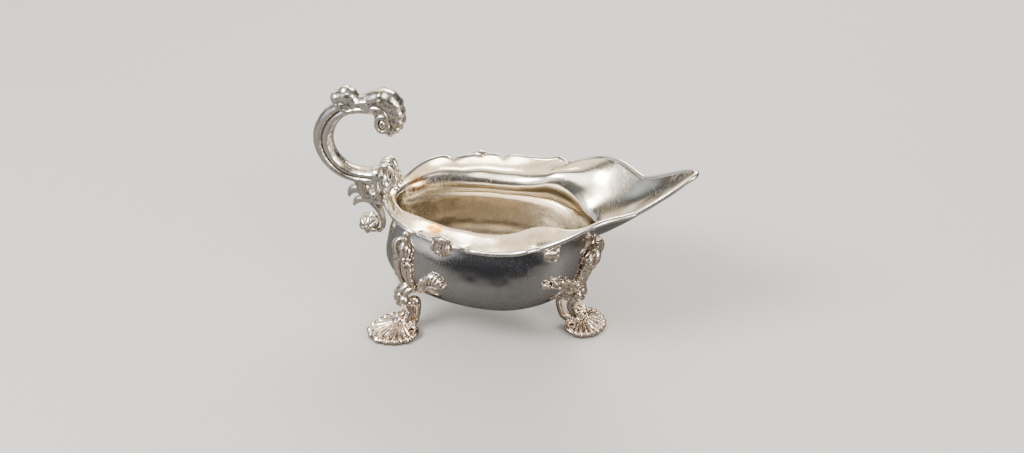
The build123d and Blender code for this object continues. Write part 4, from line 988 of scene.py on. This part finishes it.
def make_leg(leg, seed):
    s = Sculpt()
    path, side = lift(leg, [(0.3, 27.2), (2.0, 24.2), (2.6, 21.4), (2.0, 18.6), (0.4, 16.0), (-0.8, 13.6), (-0.9, 11.2), (0.6, 8.6), (2.0, 5.9)])
    s.rings(tube(path, [2.2, 3.0, 3.4, 3.1, 2.7, 2.6, 2.7, 3.1, 3.8], [3.4, 4.2, 4.4, 3.7, 3.1, 2.8, 2.8, 3.3, 4.4], side, 60, 36))
    # diamond knuckle: three rolled lumps across, two above, a collar below
    for v, r in ((-4.1, 2.6), (0.0, 3.1), (4.1, 2.6)):
        s.ball(L(leg, 4.2 if v == 0 else 3.0, v, 22.6), (r, r, r * 1.15))
    for v in (-2.1, 2.1):
        s.ball(L(leg, 4.6, v, 24.8), 1.9); s.ball(L(leg, 4.0, v * 1.1, 20.0), 1.8)
        s.ball(L(leg, 0.6, v * 2.2, 20.6), 1.7)
    s.path([L(leg, 1.2, -4.8, 21.4), L(leg, 4.4, -3.2, 19.4), L(leg, 5.0, 0, 18.6), L(leg, 4.4, 3.2, 19.4), L(leg, 1.2, 4.8, 21.4)], [0.8, 1.0, 1.1, 1.0, 0.8])
    # neck running up into the knee
    out_dir = leg_frame(leg)[1]
    for v, r in ((0, 3.2), (-1, 1.8), (1, 1.8)):
        low, top = np.asarray(L(leg, 2.6, 3.4 * v, 24.0)), knee_point(leg, 0.06, 3.2 * v, 1.2)[0]
        s.path([low, (low + top) / 2 + out_dir * 1.0, top], [r, r * 0.95, r * 0.75])
    # reeds down the shin
    for v in (-1, 1):
        s.path([L(leg, 3.2, 2.4 * v, 19.2), L(leg, 1.4, 2.3 * v, 16.0), L(leg, 0.7, 2.1 * v, 12.6), L(leg, 2.6, 2.9 * v, 9.2), L(leg, 5.2, 3.6 * v, 7.2)], [1.2, 1.15, 1.15, 1.2, 1.0])
    s.path([L(leg, 4.0, 0, 18.6), L(leg, 2.0, 0, 15.4), L(leg, 1.4, 0, 12.2), L(leg, 4.2, 0, 9.4), L(leg, 8.2, 0, 7.2)], [1.2, 1.1, 1.15, 1.5, 1.0])
    # instep: rocaille lumps spreading over the pad
    for u, v, z, r in ((4.8, -2.6, 8.8, 2.0), (4.8, 2.6, 8.8, 2.0), (5.6, 0, 9.6, 2.0), (7.4, -1.5, 7.3, 1.5), (7.4, 1.5, 7.3, 1.5), (3.0, -4.6, 7.0, 1.8), (3.0, 4.6, 7.0, 1.8), (0.0, -3.9, 6.6, 1.6), (0.0, 3.9, 6.6, 1.6), (-1.2, 0, 7.4, 1.9)):
        s.ball(L(leg, u, v, z), r)
    return s.build("leg_shin_" + leg, 0.28, 2, ((0.14, 0.38), (0.05, 1.0)), seed, clip_low=4.2, clip_bowl=0.5)


def make_leg_scroll(leg, seed):
    s = Sculpt()
    near = 1.0 if leg == "front" else 0.72
    pts = [L(leg, u * near, 0, z) for u, z in [(-0.6, 18.0), (-4.2, 19.0), (-6.9, 17.9), (-7.9, 14.4), (-7.5, 10.4), (-6.6, 7.0), (-5.2, 4.4), (-2.4, 3.2)]]
    s.path(pts, [1.8, 1.8, 1.9, 1.7, 1.6, 1.6, 1.7, 1.8])
    s.ball(L(leg, -6.2 * near, 0, 17.6), (2.3, 2.4, 2.0)); s.ball(L(leg, -3.4 * near, 0, 17.2), 2.2)
    s.path([L(leg, -3.0, -1.2, 16.8), L(leg, -1.0, -1.8, 15.2), L(leg, 0.6, -1.6, 13.8)], [0.9, 0.9, 0.8])
    s.path([L(leg, -3.0, 1.2, 16.8), L(leg, -1.0, 1.8, 15.2), L(leg, 0.6, 1.6, 13.8)], [0.9, 0.9, 0.8])
    return s.build("leg_back_scroll_" + leg, 0.26, 1, ((0.06, 0.5), (0.03, 1.4)), seed)


def make_foot(leg, seed):
    """Cast shell pad: sharp flutes, scalloped and beaded edge, flat sole."""
    o, d, side, reach = leg_frame(leg)
    m, n = 432, 64
    deg = np.arange(m) * 360.0 / m
    rng = np.random.default_rng(seed)
    fold = np.abs((deg + 180) % 360 - 180)
    signed = (deg + 180) % 360 - 180
    # flutes of slightly uneven width, all opening from the apex
    edges = [-116]
    while edges[-1] < 112:
        edges.append(edges[-1] + 17.5 * (1 + 0.30 * (rng.random() - 0.5)))
    edges = np.array(edges) * (114 / max(edges))
    ph = np.interp(signed, edges, np.arange(len(edges)))
    live = np.clip((112 - fold) / 10, 0, 1)
    rib = (np.abs(np.sin(math.pi * ph)) ** 0.55 * 2 - 1.2) * live          # rounded ribs, narrow cuts
    fine = np.abs(np.sin(3 * math.pi * ph)) * live
    rad = np.array([pad_radius(v, reach) for v in deg]) * (1 + 0.045 * rib + 0.02 * noise3(np.stack([np.cos(np.radians(deg)) * 6, np.sin(np.radians(deg)) * 6, 0 * deg + seed], 1), 0.7, seed) * live)
    # profile: share of the way out, height, rib height
    prof = np.array([(0.90, 0.0, 0), (0.955, 0.12, 0), (0.99, 0.6, .05), (1.01, 1.3, .15), (1.0, 2.1, .4), (0.965, 2.75, .62), (0.92, 2.95, .7), (0.86, 2.75, .62), (0.80, 2.75, .62), (0.66, 3.25, .7), (0.48, 4.1, .66), (0.30, 5.1, .5), (0.15, 5.9, .25), (0.04, 6.4, .08)])
    c = chord(prof * [14, 1, 0])
    q = spline(c, prof, np.linspace(0, c[-1], n))
    rows = []
    a = np.radians(deg)
    for f, z, rh in q:
        g = min(1.0, f / 0.9)
        r = rad * f if f >= 0.9 else 0.5 + (rad * 0.90 - 0.5) * g
        cc = PAD_APEX + 0.6 * (1 - g)
        top = 1.0 if z > 0.5 else 0.0
        h = z + rh * (rib + 0.16 * fine * (f > 0.3) * (f < 0.93)) * top
        # turned-up bead at the end of every rib
        h = h + 0.55 * bump(f, 0.945, 0.05) * np.clip(rib, 0, 1) * top
        # heel side: lumpy border of little scrolls
        h = h + (0.8 * np.cos(np.radians(fold) * 9) * bump(f, 0.86, 0.12) * np.clip((fold - 108) / 14, 0, 1)) * top
        rows.append(o + np.outer(r * np.cos(a) + cc, d) + np.outer(r * np.sin(a), side) + np.outer(np.maximum(h, 0.0), (0, 0, 1)))
    rows = np.array(rows)
    v = np.vstack([rows.reshape(-1, 3), rows[0].mean(0)[None] * [1, 1, 0], rows[-1].mean(0)[None]])
    f = grid_faces(n, m, True)
    e0, e1 = n * m, n * m + 1
    for j in range(m):
        k = (j + 1) % m
        f.append([e0, k, j]); f.append([e1, (n - 1) * m + j, (n - 1) * m + k])
    s = Sculpt(); s.add(v, f)
    # lumps along the scalloped border
    for k in range(len(edges) - 1):
        mid = math.radians((edges[k] + edges[k + 1]) / 2)
        r = pad_radius(math.degrees(mid), reach)
        w = 2 * r * math.sin(math.radians(abs(edges[k + 1] - edges[k]) / 2))
        p = o + d * (PAD_APEX + math.cos(mid) * r * 0.945) + side * math.sin(mid) * r * 0.945
        s.ball(p + np.array([0, 0, 1.9]), (w * 0.40, w * 0.40, 1.5 + 0.3 * rng.random()))
    for sg in (-1, 1):
        s.path([L(leg, 1.5, 10.4 * sg, 2.2), L(leg, -1.2, 8.2 * sg, 2.8), L(leg, -2.0, 5.4 * sg, 3.2), L(leg, -0.4, 3.8 * sg, 4.2), L(leg, 1.4, 4.8 * sg, 4.6)], [1.3, 1.6, 1.6, 1.3, 1.0])
        s.ball(L(leg, -2.0, 2.4 * sg, 2.4), 1.7)
    return s.build("foot_shell_" + leg, 0.26, 1, ((0.06, 0.5), (0.035, 1.6)), seed, clip_low=0.0)


def make_wing(name, line, flip, seed):
    """Broken shell-work beside the knee: a rough crest of small lumps over a rolled lower edge."""
    k = np.array(line, float) * [flip, 1]
    c = chord(k * [0.8, 1])
    def P(t, dz, h):
        l = spline(c / c[-1], k, np.atleast_1d(t))
        return laid(l[:, 0], l[:, 1] + dz, np.broadcast_to(h, np.shape(l[:, 0])))
    rng = np.random.default_rng(seed)
    rear = "rear" in name
    s = Sculpt()
    tt = np.linspace(0, 1, 26); v = np.linspace(-1, 1, 13)
    w = np.interp(tt, [0, 0.12, 0.35, 0.6, 0.85, 1.0], [2.0, 3.2, 3.5, 3.1, 2.2, 1.2])
    l = spline(c / c[-1], k, tt)
    z = l[:, 1:] + v[None] * w[:, None]
    th = l[:, :1] + 0 * z
    s.slab(laid(th, z, 0.9 * (1 - 0.6 * v[None] ** 2) + 0 * z), laid(th, z, -0.5 + 0 * z))
    s.path(P(np.array([0.0, 0.22, 0.48, 0.74, 0.97]), np.array([-2.2, -2.7, -2.3, -1.5, -0.3]), 1.2), [1.5, 1.6, 1.5, 1.3, 1.1])
    n = 20 if rear else 12
    for i in range(n):
        t = (i + rng.random()) / n
        top = np.interp(t, [0, 0.3, 0.6, 1], [2.4, 3.6, 3.4, 0.9] if rear else [2.2, 3.0, 2.2, 0.5])
        s.ball(P(t, top * (2 * rng.random() - 0.85), 0.9 + 0.9 * rng.random())[0], 1.1 + 0.8 * rng.random())
    for i, t in enumerate(np.linspace(0.05, 0.93, 7 if rear else 5)):
        top = np.interp(t, [0, 0.3, 0.6, 1], [2.6, 3.8, 3.4, 1.2] if rear else [2.2, 3.0, 2.2, 0.6]) + 0.8 * (rng.random() - 0.5)
        s.path([P(max(0.0, t - 0.05), -0.8, 1.5)[0], P(t, top * 0.5, 2.0)[0], P(min(1.0, t + 0.05), top, 1.3)[0]], [1.0, 1.3, 1.2 + 0.4 * rng.random()])
    s.ball(P(0.02, 0.6, 1.4)[0], 2.1); s.ball(P(0.98, 0.2, 1.1)[0], 1.35)
    s.path(P(np.array([-0.16, -0.06, 0.06]), np.array([-2.6, -1.6, -0.6]), 1.3), [1.4, 1.6, 1.6])
    return s.build(name, 0.27, 2, ((0.30, 0.33), (0.12, 0.85)), seed, clip_bowl=0.4)


def make_rim_drop(kind, side, seed):
    flip = -1 if side == "near" else 1
    outer, inner = rim_drop_grid(kind, 1, 34, 61)
    x0, half, drop, lean, lobes = RIM_DROPS[kind]
    s = Sculpt()
    outer = outer.copy(); inner = inner.copy()
    rise = 0.0 if kind != "rim_shell" else (2.5 if side == "near" else 0.3)
    lift_up = np.linspace(3.2, 0, len(outer))[:, None]
    outer[:, :, 2] += np.clip(lift_up - 0.6, 0, None) + rise; inner[:, :, 2] += np.clip(lift_up - 0.6, 0, None) + rise
    s.slab(outer, inner)
    rows, cols = outer.shape[:2]
    if kind == "rim_shell":
        # a shell hanging over the edge: ribs fanning down from a rolled crown
        for j0, j1 in ((12, 5), (20, 16), (27, 25), (33, 35), (40, 44), (48, 55)):
            s.path([outer[1, j0] + [0, 0, 0.2], outer[rows // 2, (j0 + j1) // 2], outer[rows - 5, j1]], [1.1, 1.3, 1.25])
        mid = outer[0, cols // 2]
        o = unit((mid - np.array([CENTRE_X, 0, mid[2]])) * [1, 1, 0])
        up = np.array([0, 0, 1.0])
        s.path([outer[0, j] - o * 0.4 + up * (0.2 + 1.1 * math.sin(math.pi * j / 60)) for j in (7, 18, 30, 42, 53)], [1.1, 1.9, 2.5, 2.0, 1.1])
        s.ball(outer[0, 32] - o * 0.9 + up * 1.2, (3.4, 2.4, 2.2))
        s.path([outer[0, j] - o * 2.4 + up * 0.6 for j in (20, 30, 40)], [0.8, 1.3, 0.8])
    elif kind == "rim_leaf":
        s.ball(outer[rows // 2, 22], (3.0, 1.6, 2.3)); s.ball(outer[rows // 2 - 4, 38], (3.2, 1.5, 2.4)); s.ball(outer[rows - 9, 30], (2.6, 1.4, 1.8))
        s.path([outer[rows // 3, 8], outer[rows // 2 - 2, 24], outer[rows // 3, 44], outer[rows // 4, 54]], [0.9, 1.4, 1.3, 0.8])
    else:
        s.ball(outer[rows // 2, cols // 2], (1.7, 1.5, 2.3)); s.ball(outer[4, cols // 2], (1.7, 1.4, 1.7))
        s.ball(outer[rows - 4, cols // 2], (1.1, 1.0, 1.3))
    ob = s.build(kind + "_casting_" + side, 0.26, 1, ((0.10, 0.4), (0.04, 1.2)), seed)
    if flip < 0:
        co = verts_of(ob.data); co[:, 1] *= -1
        ob.data.vertices.foreach_set("co", co.ravel())
        outward(ob)
        ob.data.polygons.foreach_set("use_smooth", [True] * len(ob.data.polygons))
        cavity(ob)
    return ob


# ---------------------------------------------------------------- materials
def nodes_of(name):
    mat = bpy.data.materials.new(name)
    mat.use_nodes = True
    nt = mat.node_tree
    for n in list(nt.nodes):
        nt.nodes.remove(n)
    return mat, nt


class Net:
    def __init__(self, nt):
        self.nt = nt

    def node(self, kind, **kw):
        n = self.nt.nodes.new(kind)
        for k, v in kw.items():
            setattr(n, k, v)
        return n

    def link(self, a, b):
        self.nt.links.new(a, b)

    def put(self, sock, v):
        if hasattr(v, "is_output") or isinstance(v, bpy.types.NodeSocket):
            self.link(v, sock)
        else:
            sock.default_value = v

    def math(self, op, a, b=0.0, c=None, clamp=False):
        n = self.node("ShaderNodeMath", operation=op, use_clamp=clamp)
        self.put(n.inputs[0], a); self.put(n.inputs[1], b)
        if c is not None:
            self.put(n.inputs[2], c)
        return n.outputs[0]

    def ramp(self, v, lo, hi, a=0.0, b=1.0):
        n = self.node("ShaderNodeMapRange", clamp=True)
        n.interpolation_type = "SMOOTHSTEP"
        self.put(n.inputs[0], v)
        n.inputs[1].default_value, n.inputs[2].default_value = lo, hi
        n.inputs[3].default_value, n.inputs[4].default_value = a, b
        return n.outputs[0]

    def noise(self, vec, scale, detail=3.0, rough=0.55, distort=0.0):
        n = self.node("ShaderNodeTexNoise")
        self.link(vec, n.inputs["Vector"])
        n.inputs["Scale"].default_value = scale; n.inputs["Detail"].default_value = detail
        n.inputs["Roughness"].default_value = rough; n.inputs["Distortion"].default_value = distort
        return n.outputs["Fac"]

    def mapping(self, vec, rot=(0, 0, 0), scale=(1, 1, 1)):
        n = self.node("ShaderNodeMapping")
        self.link(vec, n.inputs["Vector"])
        n.inputs["Rotation"].default_value = rot; n.inputs["Scale"].default_value = scale
        return n.outputs[0]

    def mix(self, f, a, b):
        n = self.node("ShaderNodeMix", data_type="RGBA")
        self.put(n.inputs[0], f)
        for s, v in ((n.inputs[6], a), (n.inputs[7], b)):
            if isinstance(v, tuple):
                s.default_value = (*v, 1.0) if len(v) == 3 else v
            else:
                self.link(v, s)
        return n.outputs[2]

    def scratches(self, vec, rot, fine, stretch, seed, width=0.012):
        """Thin straight hairlines: one iso-line of a strongly stretched noise, broken up by a coarse mask."""
        m = self.mapping(vec, rot, (stretch, 1.0, stretch * 0.6))
        n = self.noise(m, fine, 1.0, 0.4)
        line = self.ramp(self.math("ABSOLUTE", self.math("SUBTRACT", n, 0.5 + seed * 0.01)), 0.0, width, 1.0, 0.0)
        mask = self.ramp(self.noise(self.mapping(vec, (seed, 0.3, 1.1), (1, 1, 1)), 42.0, 1.0, 0.4), 0.50, 0.62)
        return self.math("MULTIPLY", line, mask)


def silver(name, bright, dark, rough, relief=(-0.10, 0.10), tarnish=0.25, grain=0.3, inside=None):
    """Worn polished silver: clean on the high places, darkened in the recesses by tarnish and painted shade, with
    polishing haze and hairlines.
    """
    mat, nt = nodes_of(name)
    k = Net(nt)
    out = k.node("ShaderNodeOutputMaterial")
    bsdf = k.node("ShaderNodeBsdfPrincipled")
    k.link(bsdf.outputs[0], out.inputs[0])
    bsdf.inputs["Metallic"].default_value = 1.0
    tc = k.node("ShaderNodeTexCoord")
    vec = tc.outputs["Object"]
    att = k.node("ShaderNodeAttribute", attribute_name="relief")
    rel = att.outputs["Fac"]
    cav = k.ramp(rel, relief[0], relief[1] * 0.25, 1.0, 0.0)
    high = k.ramp(rel, 0.0, relief[1], 0.0, 1.0)
    cloud = k.noise(vec, 55.0, 4.0, 0.6, 0.6)
    spots = k.noise(vec, 210.0, 3.0, 0.6)
    film = k.math("MULTIPLY", k.ramp(cloud, 0.45, 0.72), tarnish)
    film = k.math("ADD", film, k.math("MULTIPLY", k.ramp(spots, 0.60, 0.72), tarnish * 0.35), clamp=True)
    base = k.mix(film, bright, tuple(c * w for c, w in zip(bright, (0.80, 0.73, 0.60))))
    # Inside faces take a far paler, warmer colour than the outside, which is painted light. A real tarnish cloud blends
    # between the first two inside colours.
    if inside is not None:
        ins = k.node("ShaderNodeAttribute", attribute_name="inside").outputs["Fac"]
        inner_tarnish_and_painted_light = k.mix(k.ramp(cloud, 0.38, 0.70), inside[0], inside[1])
        sep = k.node("ShaderNodeSeparateXYZ"); k.link(vec, sep.inputs[0])
        # Painted light: towards the bottom the inside fades to one even pale colour without the tarnish cloud, lifting
        # the basin.
        low = k.ramp(sep.outputs[2], 0.030, 0.068, 1.0, 0.0)
        inner_tarnish_and_painted_light = k.mix(low, inner_tarnish_and_painted_light, inside[2])
        # amber stains left on the flange by sauce
        for cx, cy, big in ((-0.0470, 0.0121, 0.0056), (-0.0279, -0.0291, 0.0048), (-0.0500, 0.0040, 0.0030)):
            dv = k.node("ShaderNodeVectorMath", operation="DISTANCE")
            fl_vec = k.mapping(vec, (0, 0, 0), (1, 1, 0))
            k.link(fl_vec, dv.inputs[0]); dv.inputs[1].default_value = (cx, cy, 0)
            dd = k.math("ADD", dv.outputs["Value"], k.math("MULTIPLY", k.math("SUBTRACT", spots, 0.5), 0.004))
            mask = k.math("MULTIPLY", k.ramp(dd, big * 0.6, big * 1.2, 1.0, 0.0), k.ramp(sep.outputs[2], 0.064, 0.069))
            inner_tarnish_and_painted_light = k.mix(k.math("MULTIPLY", mask, 1.0), inner_tarnish_and_painted_light, (0.80, 0.40, 0.06))
        base = k.mix(ins, base, inner_tarnish_and_painted_light)
    # Base colour darkened toward the dark colour in the recesses: tarnish in the hollows, partly painted shade.
    recess_tarnish_and_painted_shade = k.math("MULTIPLY", cav, k.ramp(spots, 0.25, 0.62, 0.78, 1.0))
    base = k.mix(recess_tarnish_and_painted_shade, base, dark)
    base = k.mix(k.math("MULTIPLY", high, 0.35), base, (0.98, 0.965, 0.94))
    k.link(base, bsdf.inputs["Base Color"])
    # hairlines in three crossing directions
    s1 = k.scratches(vec, (0.2, 0.1, 0.5), 60.0, 9.0, 1.0)
    s2 = k.scratches(vec, (0.9, 0.4, 1.9), 75.0, 8.0, 2.0)
    s3 = k.scratches(vec, (0.1, 1.2, 2.7), 50.0, 10.0, 3.0)
    sc = k.math("MAXIMUM", k.math("MAXIMUM", s1, s2), s3)
    brushed = k.noise(k.mapping(vec, (0.0, 0.0, 0.6), (30, 1, 12)), 90.0, 2.0, 0.5)
    r = k.math("ADD", k.math("MULTIPLY", cloud, rough[1]), rough[0] - rough[1] * 0.4)
    r = k.math("ADD", r, k.math("MULTIPLY", cav, 0.22))
    r = k.math("ADD", r, k.math("MULTIPLY", sc, 0.30))
    r = k.math("ADD", r, k.math("MULTIPLY", k.ramp(brushed, 0.4, 0.8), 0.025), clamp=True)
    k.link(r, bsdf.inputs["Roughness"])
    # relief finer than the mesh: cast grain, planishing, hairlines
    g1 = k.noise(vec, 900.0, 3.0, 0.6)
    g2 = k.noise(vec, 330.0, 2.0, 0.5)
    h = k.math("ADD", k.math("MULTIPLY", g1, 0.35 * grain), k.math("MULTIPLY", g2, grain))
    h = k.math("SUBTRACT", h, k.math("MULTIPLY", sc, 0.25))
    b = k.node("ShaderNodeBump")
    b.inputs["Strength"].default_value = 0.35
    b.inputs["Distance"].default_value = 0.00012
    k.link(h, b.inputs["Height"])
    k.link(b.outputs[0], bsdf.inputs["Normal"])
    return mat


def flat_pale(name, colour, rough, mirrored):
    """Plain matt floor. What the silver mirrors of it is toned down to 'mirrored', like a flag set beside the object."""
    mat, nt = nodes_of(name)
    k = Net(nt)
    out = k.node("ShaderNodeOutputMaterial"); bsdf = k.node("ShaderNodeBsdfPrincipled")
    k.link(bsdf.outputs[0], out.inputs[0])
    tc = k.node("ShaderNodeTexCoord")
    n = k.noise(tc.outputs["Object"], 300.0, 2.0)
    plain = k.mix(k.math("MULTIPLY", n, 0.05), colour, tuple(c * 0.9 for c in colour))
    lp = k.node("ShaderNodeLightPath")
    k.link(k.mix(lp.outputs["Is Glossy Ray"], plain, mirrored), bsdf.inputs["Base Color"])
    bsdf.inputs["Roughness"].default_value = rough
    return mat


# Outer face: base colour dimmed to 0.52, painted shade for the dark surroundings it mirrors. Inside colours: pale warm
# tone and basin tone are painted light; the darker warm one is tarnish.
M_BOWL = silver("raised_silver_sheet", (0.52, 0.52, 0.525), (0.24, 0.22, 0.20), (0.15, 0.10), (-0.30, 0.30), 0.35, 0.16, inside=((0.99, 0.925, 0.80), (0.96, 0.85, 0.66), (0.95, 0.885, 0.78)))
M_WIRE = silver("edge_wire_silver", (0.96, 0.93, 0.88), (0.30, 0.25, 0.20), (0.16, 0.10), (-0.05, 0.08), 0.20, 0.2)
M_HANDLE = silver("chased_handle_silver", (0.95, 0.905, 0.85), (0.12, 0.09, 0.07), (0.17, 0.12), (-0.24, 0.26), 0.65, 0.45)
M_CAST = silver("cast_silver", (1.0, 0.885, 0.77), (0.12, 0.07, 0.045), (0.19, 0.11), (-0.26, 0.28), 0.25, 0.5)

# ---------------------------------------------------------------- assemble
def place(ob, mat, slot, *nodes):
    ob.data.materials.clear()
    ob.data.materials.append(mat)
    ob.data.polygons.foreach_set("material_index", [0] * len(ob.data.polygons))
    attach(ob, "root")
    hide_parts(*nodes)


place(make_bowl(), M_BOWL, "raised_silver", "bowl")
place(make_rim_wire(), M_WIRE, "wire_silver", "rim_wire")
for node, ob in make_handle().items():
    place(ob, M_HANDLE, "handle_silver", node)
for i, leg in enumerate(LEGS):
    place(make_knee(leg, 60 + i), M_CAST, "cast_silver", "knee_" + leg)
    place(make_leg(leg, 70 + i), M_CAST, "cast_silver", "leg_" + leg)
    place(make_leg_scroll(leg, 80 + i), M_CAST, "cast_silver", "leg_scroll_" + leg)
    place(make_foot(leg, 90 + i), M_CAST, "cast_silver", "foot_" + leg)
for i, (node, (centre, flip)) in enumerate(wing_pieces().items()):
    place(make_wing(node + "_shellwork", centre, flip, 100 + i // 2), M_CAST, "cast_silver", node)
for i, kind in enumerate(RIM_DROPS):
    for j, side in enumerate(("near", "far")):
        place(make_rim_drop(kind, side, 120 + 2 * i + j), M_CAST, "cast_silver", kind + "_" + side)

# ---------------------------------------------------------------- stage, light, camera
fl = bpy.data.meshes.new("studio_floor")
fl.from_pydata([(-6, -6, 0), (6, -6, 0), (6, 6, 0), (-6, 6, 0)], [], [(0, 1, 2, 3)])
floor = bpy.data.objects.new("studio_floor", fl)
floor.location.z = -0.0002
bpy.context.scene.collection.objects.link(floor)
floor.data.materials.append(flat_pale("pale_floor", (0.80, 0.79, 0.77), 0.65, (0.17, 0.165, 0.16)))

world = bpy.data.worlds.new("studio")
bpy.context.scene.world = world
world.use_nodes = True
wn = world.node_tree
for n in list(wn.nodes):
    wn.nodes.remove(n)
wk = Net(wn)
wo = wk.node("ShaderNodeOutputWorld"); bg = wk.node("ShaderNodeBackground")
wk.link(bg.outputs[0], wo.inputs[0])
wtc = wk.node("ShaderNodeTexCoord")
direction = wtc.outputs["Generated"]
sep = wk.node("ShaderNodeSeparateXYZ"); wk.link(direction, sep.inputs[0])
wlp = wk.node("ShaderNodeLightPath")


def panel(towards, wide, soft):
    """Round soft panel of the studio, seen in a direction: 0 outside wide degrees, 1 inside soft degrees."""
    d = Vector(towards).normalized()
    n = wk.node("ShaderNodeVectorMath", operation="DOT_PRODUCT")
    wk.link(direction, n.inputs[0]); n.inputs[1].default_value = tuple(d)
    return wk.ramp(n.outputs["Value"], math.cos(math.radians(wide)), math.cos(math.radians(soft)))


sky = wk.mix(wk.ramp(sep.outputs[2], 0.05, 0.95), (0.07, 0.072, 0.078), (0.24, 0.235, 0.23))
sky = wk.mix(panel((-0.20, 0.80, 0.56), 46, 26), sky, (1.30, 1.12, 0.88))
sky = wk.mix(panel((-0.62, 0.78, 0.08), 26, 10), sky, (1.35, 1.24, 1.08))
sky = wk.mix(panel((-0.74, -0.52, 0.47), 30, 12), sky, (1.30, 1.28, 1.24))
sky = wk.mix(panel((-0.97, -0.10, 0.22), 26, 10), sky, (0.55, 0.63, 0.76))
sky = wk.mix(panel((0.95, -0.45, 0.40), 32, 12), sky, (1.15, 1.02, 0.84))
sky = wk.mix(panel((-0.25, -0.45, 0.86), 28, 15), sky, (2.6, 2.45, 2.25))
soft_room = wk.mix(wk.ramp(sep.outputs[2], -0.1, 0.9), (0.52, 0.52, 0.52), (0.66, 0.655, 0.65))
wk.link(wk.mix(wlp.outputs["Is Glossy Ray"], soft_room, sky), bg.inputs["Color"])
bg.inputs["Strength"].default_value = 1.0


def area(name, pos, aim, size, power, colour=(1, 1, 1), size_y=None):
    li = bpy.data.lights.new(name, "AREA")
    li.shape = "RECTANGLE"; li.size = size; li.size_y = size_y or size
    li.energy = power; li.color = colour
    ob = bpy.data.objects.new(name, li)
    ob.location = pos
    ob.rotation_euler = (Vector(aim) - Vector(pos)).to_track_quat("-Z", "Y").to_euler()
    bpy.context.scene.collection.objects.link(ob)
    return ob


area("soft_key", (-0.62, -0.55, 0.95), (0, 0, 0.05), 0.42, 9.0, (1.0, 0.97, 0.92))
area("soft_back", (0.10, 0.85, 0.85), (0, 0, 0.05), 0.80, 5.0, (1.0, 0.93, 0.82), 0.30)
area("soft_side", (0.85, -0.55, 0.42), (0, 0, 0.05), 0.34, 4.0, (1.0, 0.94, 0.86), 0.5)

cam_data = bpy.data.cameras.new("photo_view")
cam_data.sensor_fit = "HORIZONTAL"; cam_data.sensor_width = 36.0
cam_data.lens = 1560.0 / 1024.0 * 36.0
cam_data.clip_start = 0.02
cam = bpy.data.objects.new("photo_view", cam_data)
psi, el, dist = math.radians(12.0), math.radians(35.0), 0.8
target = Vector((SHIFT[0] / 1000.0, 0.0, 0.05786))
fwd = Vector((-math.sin(psi) * math.cos(el), math.cos(psi) * math.cos(el), -math.sin(el)))
cam.location = target - fwd * dist
cam.rotation_euler = fwd.to_track_quat("-Z", "Y").to_euler()
bpy.context.scene.collection.objects.link(cam)
bpy.context.scene.camera = cam
bpy.context.scene.view_settings.view_transform = "AgX"
bpy.context.scene.view_settings.look = "AgX - Medium High Contrast"

bpy.context.view_layer.update()
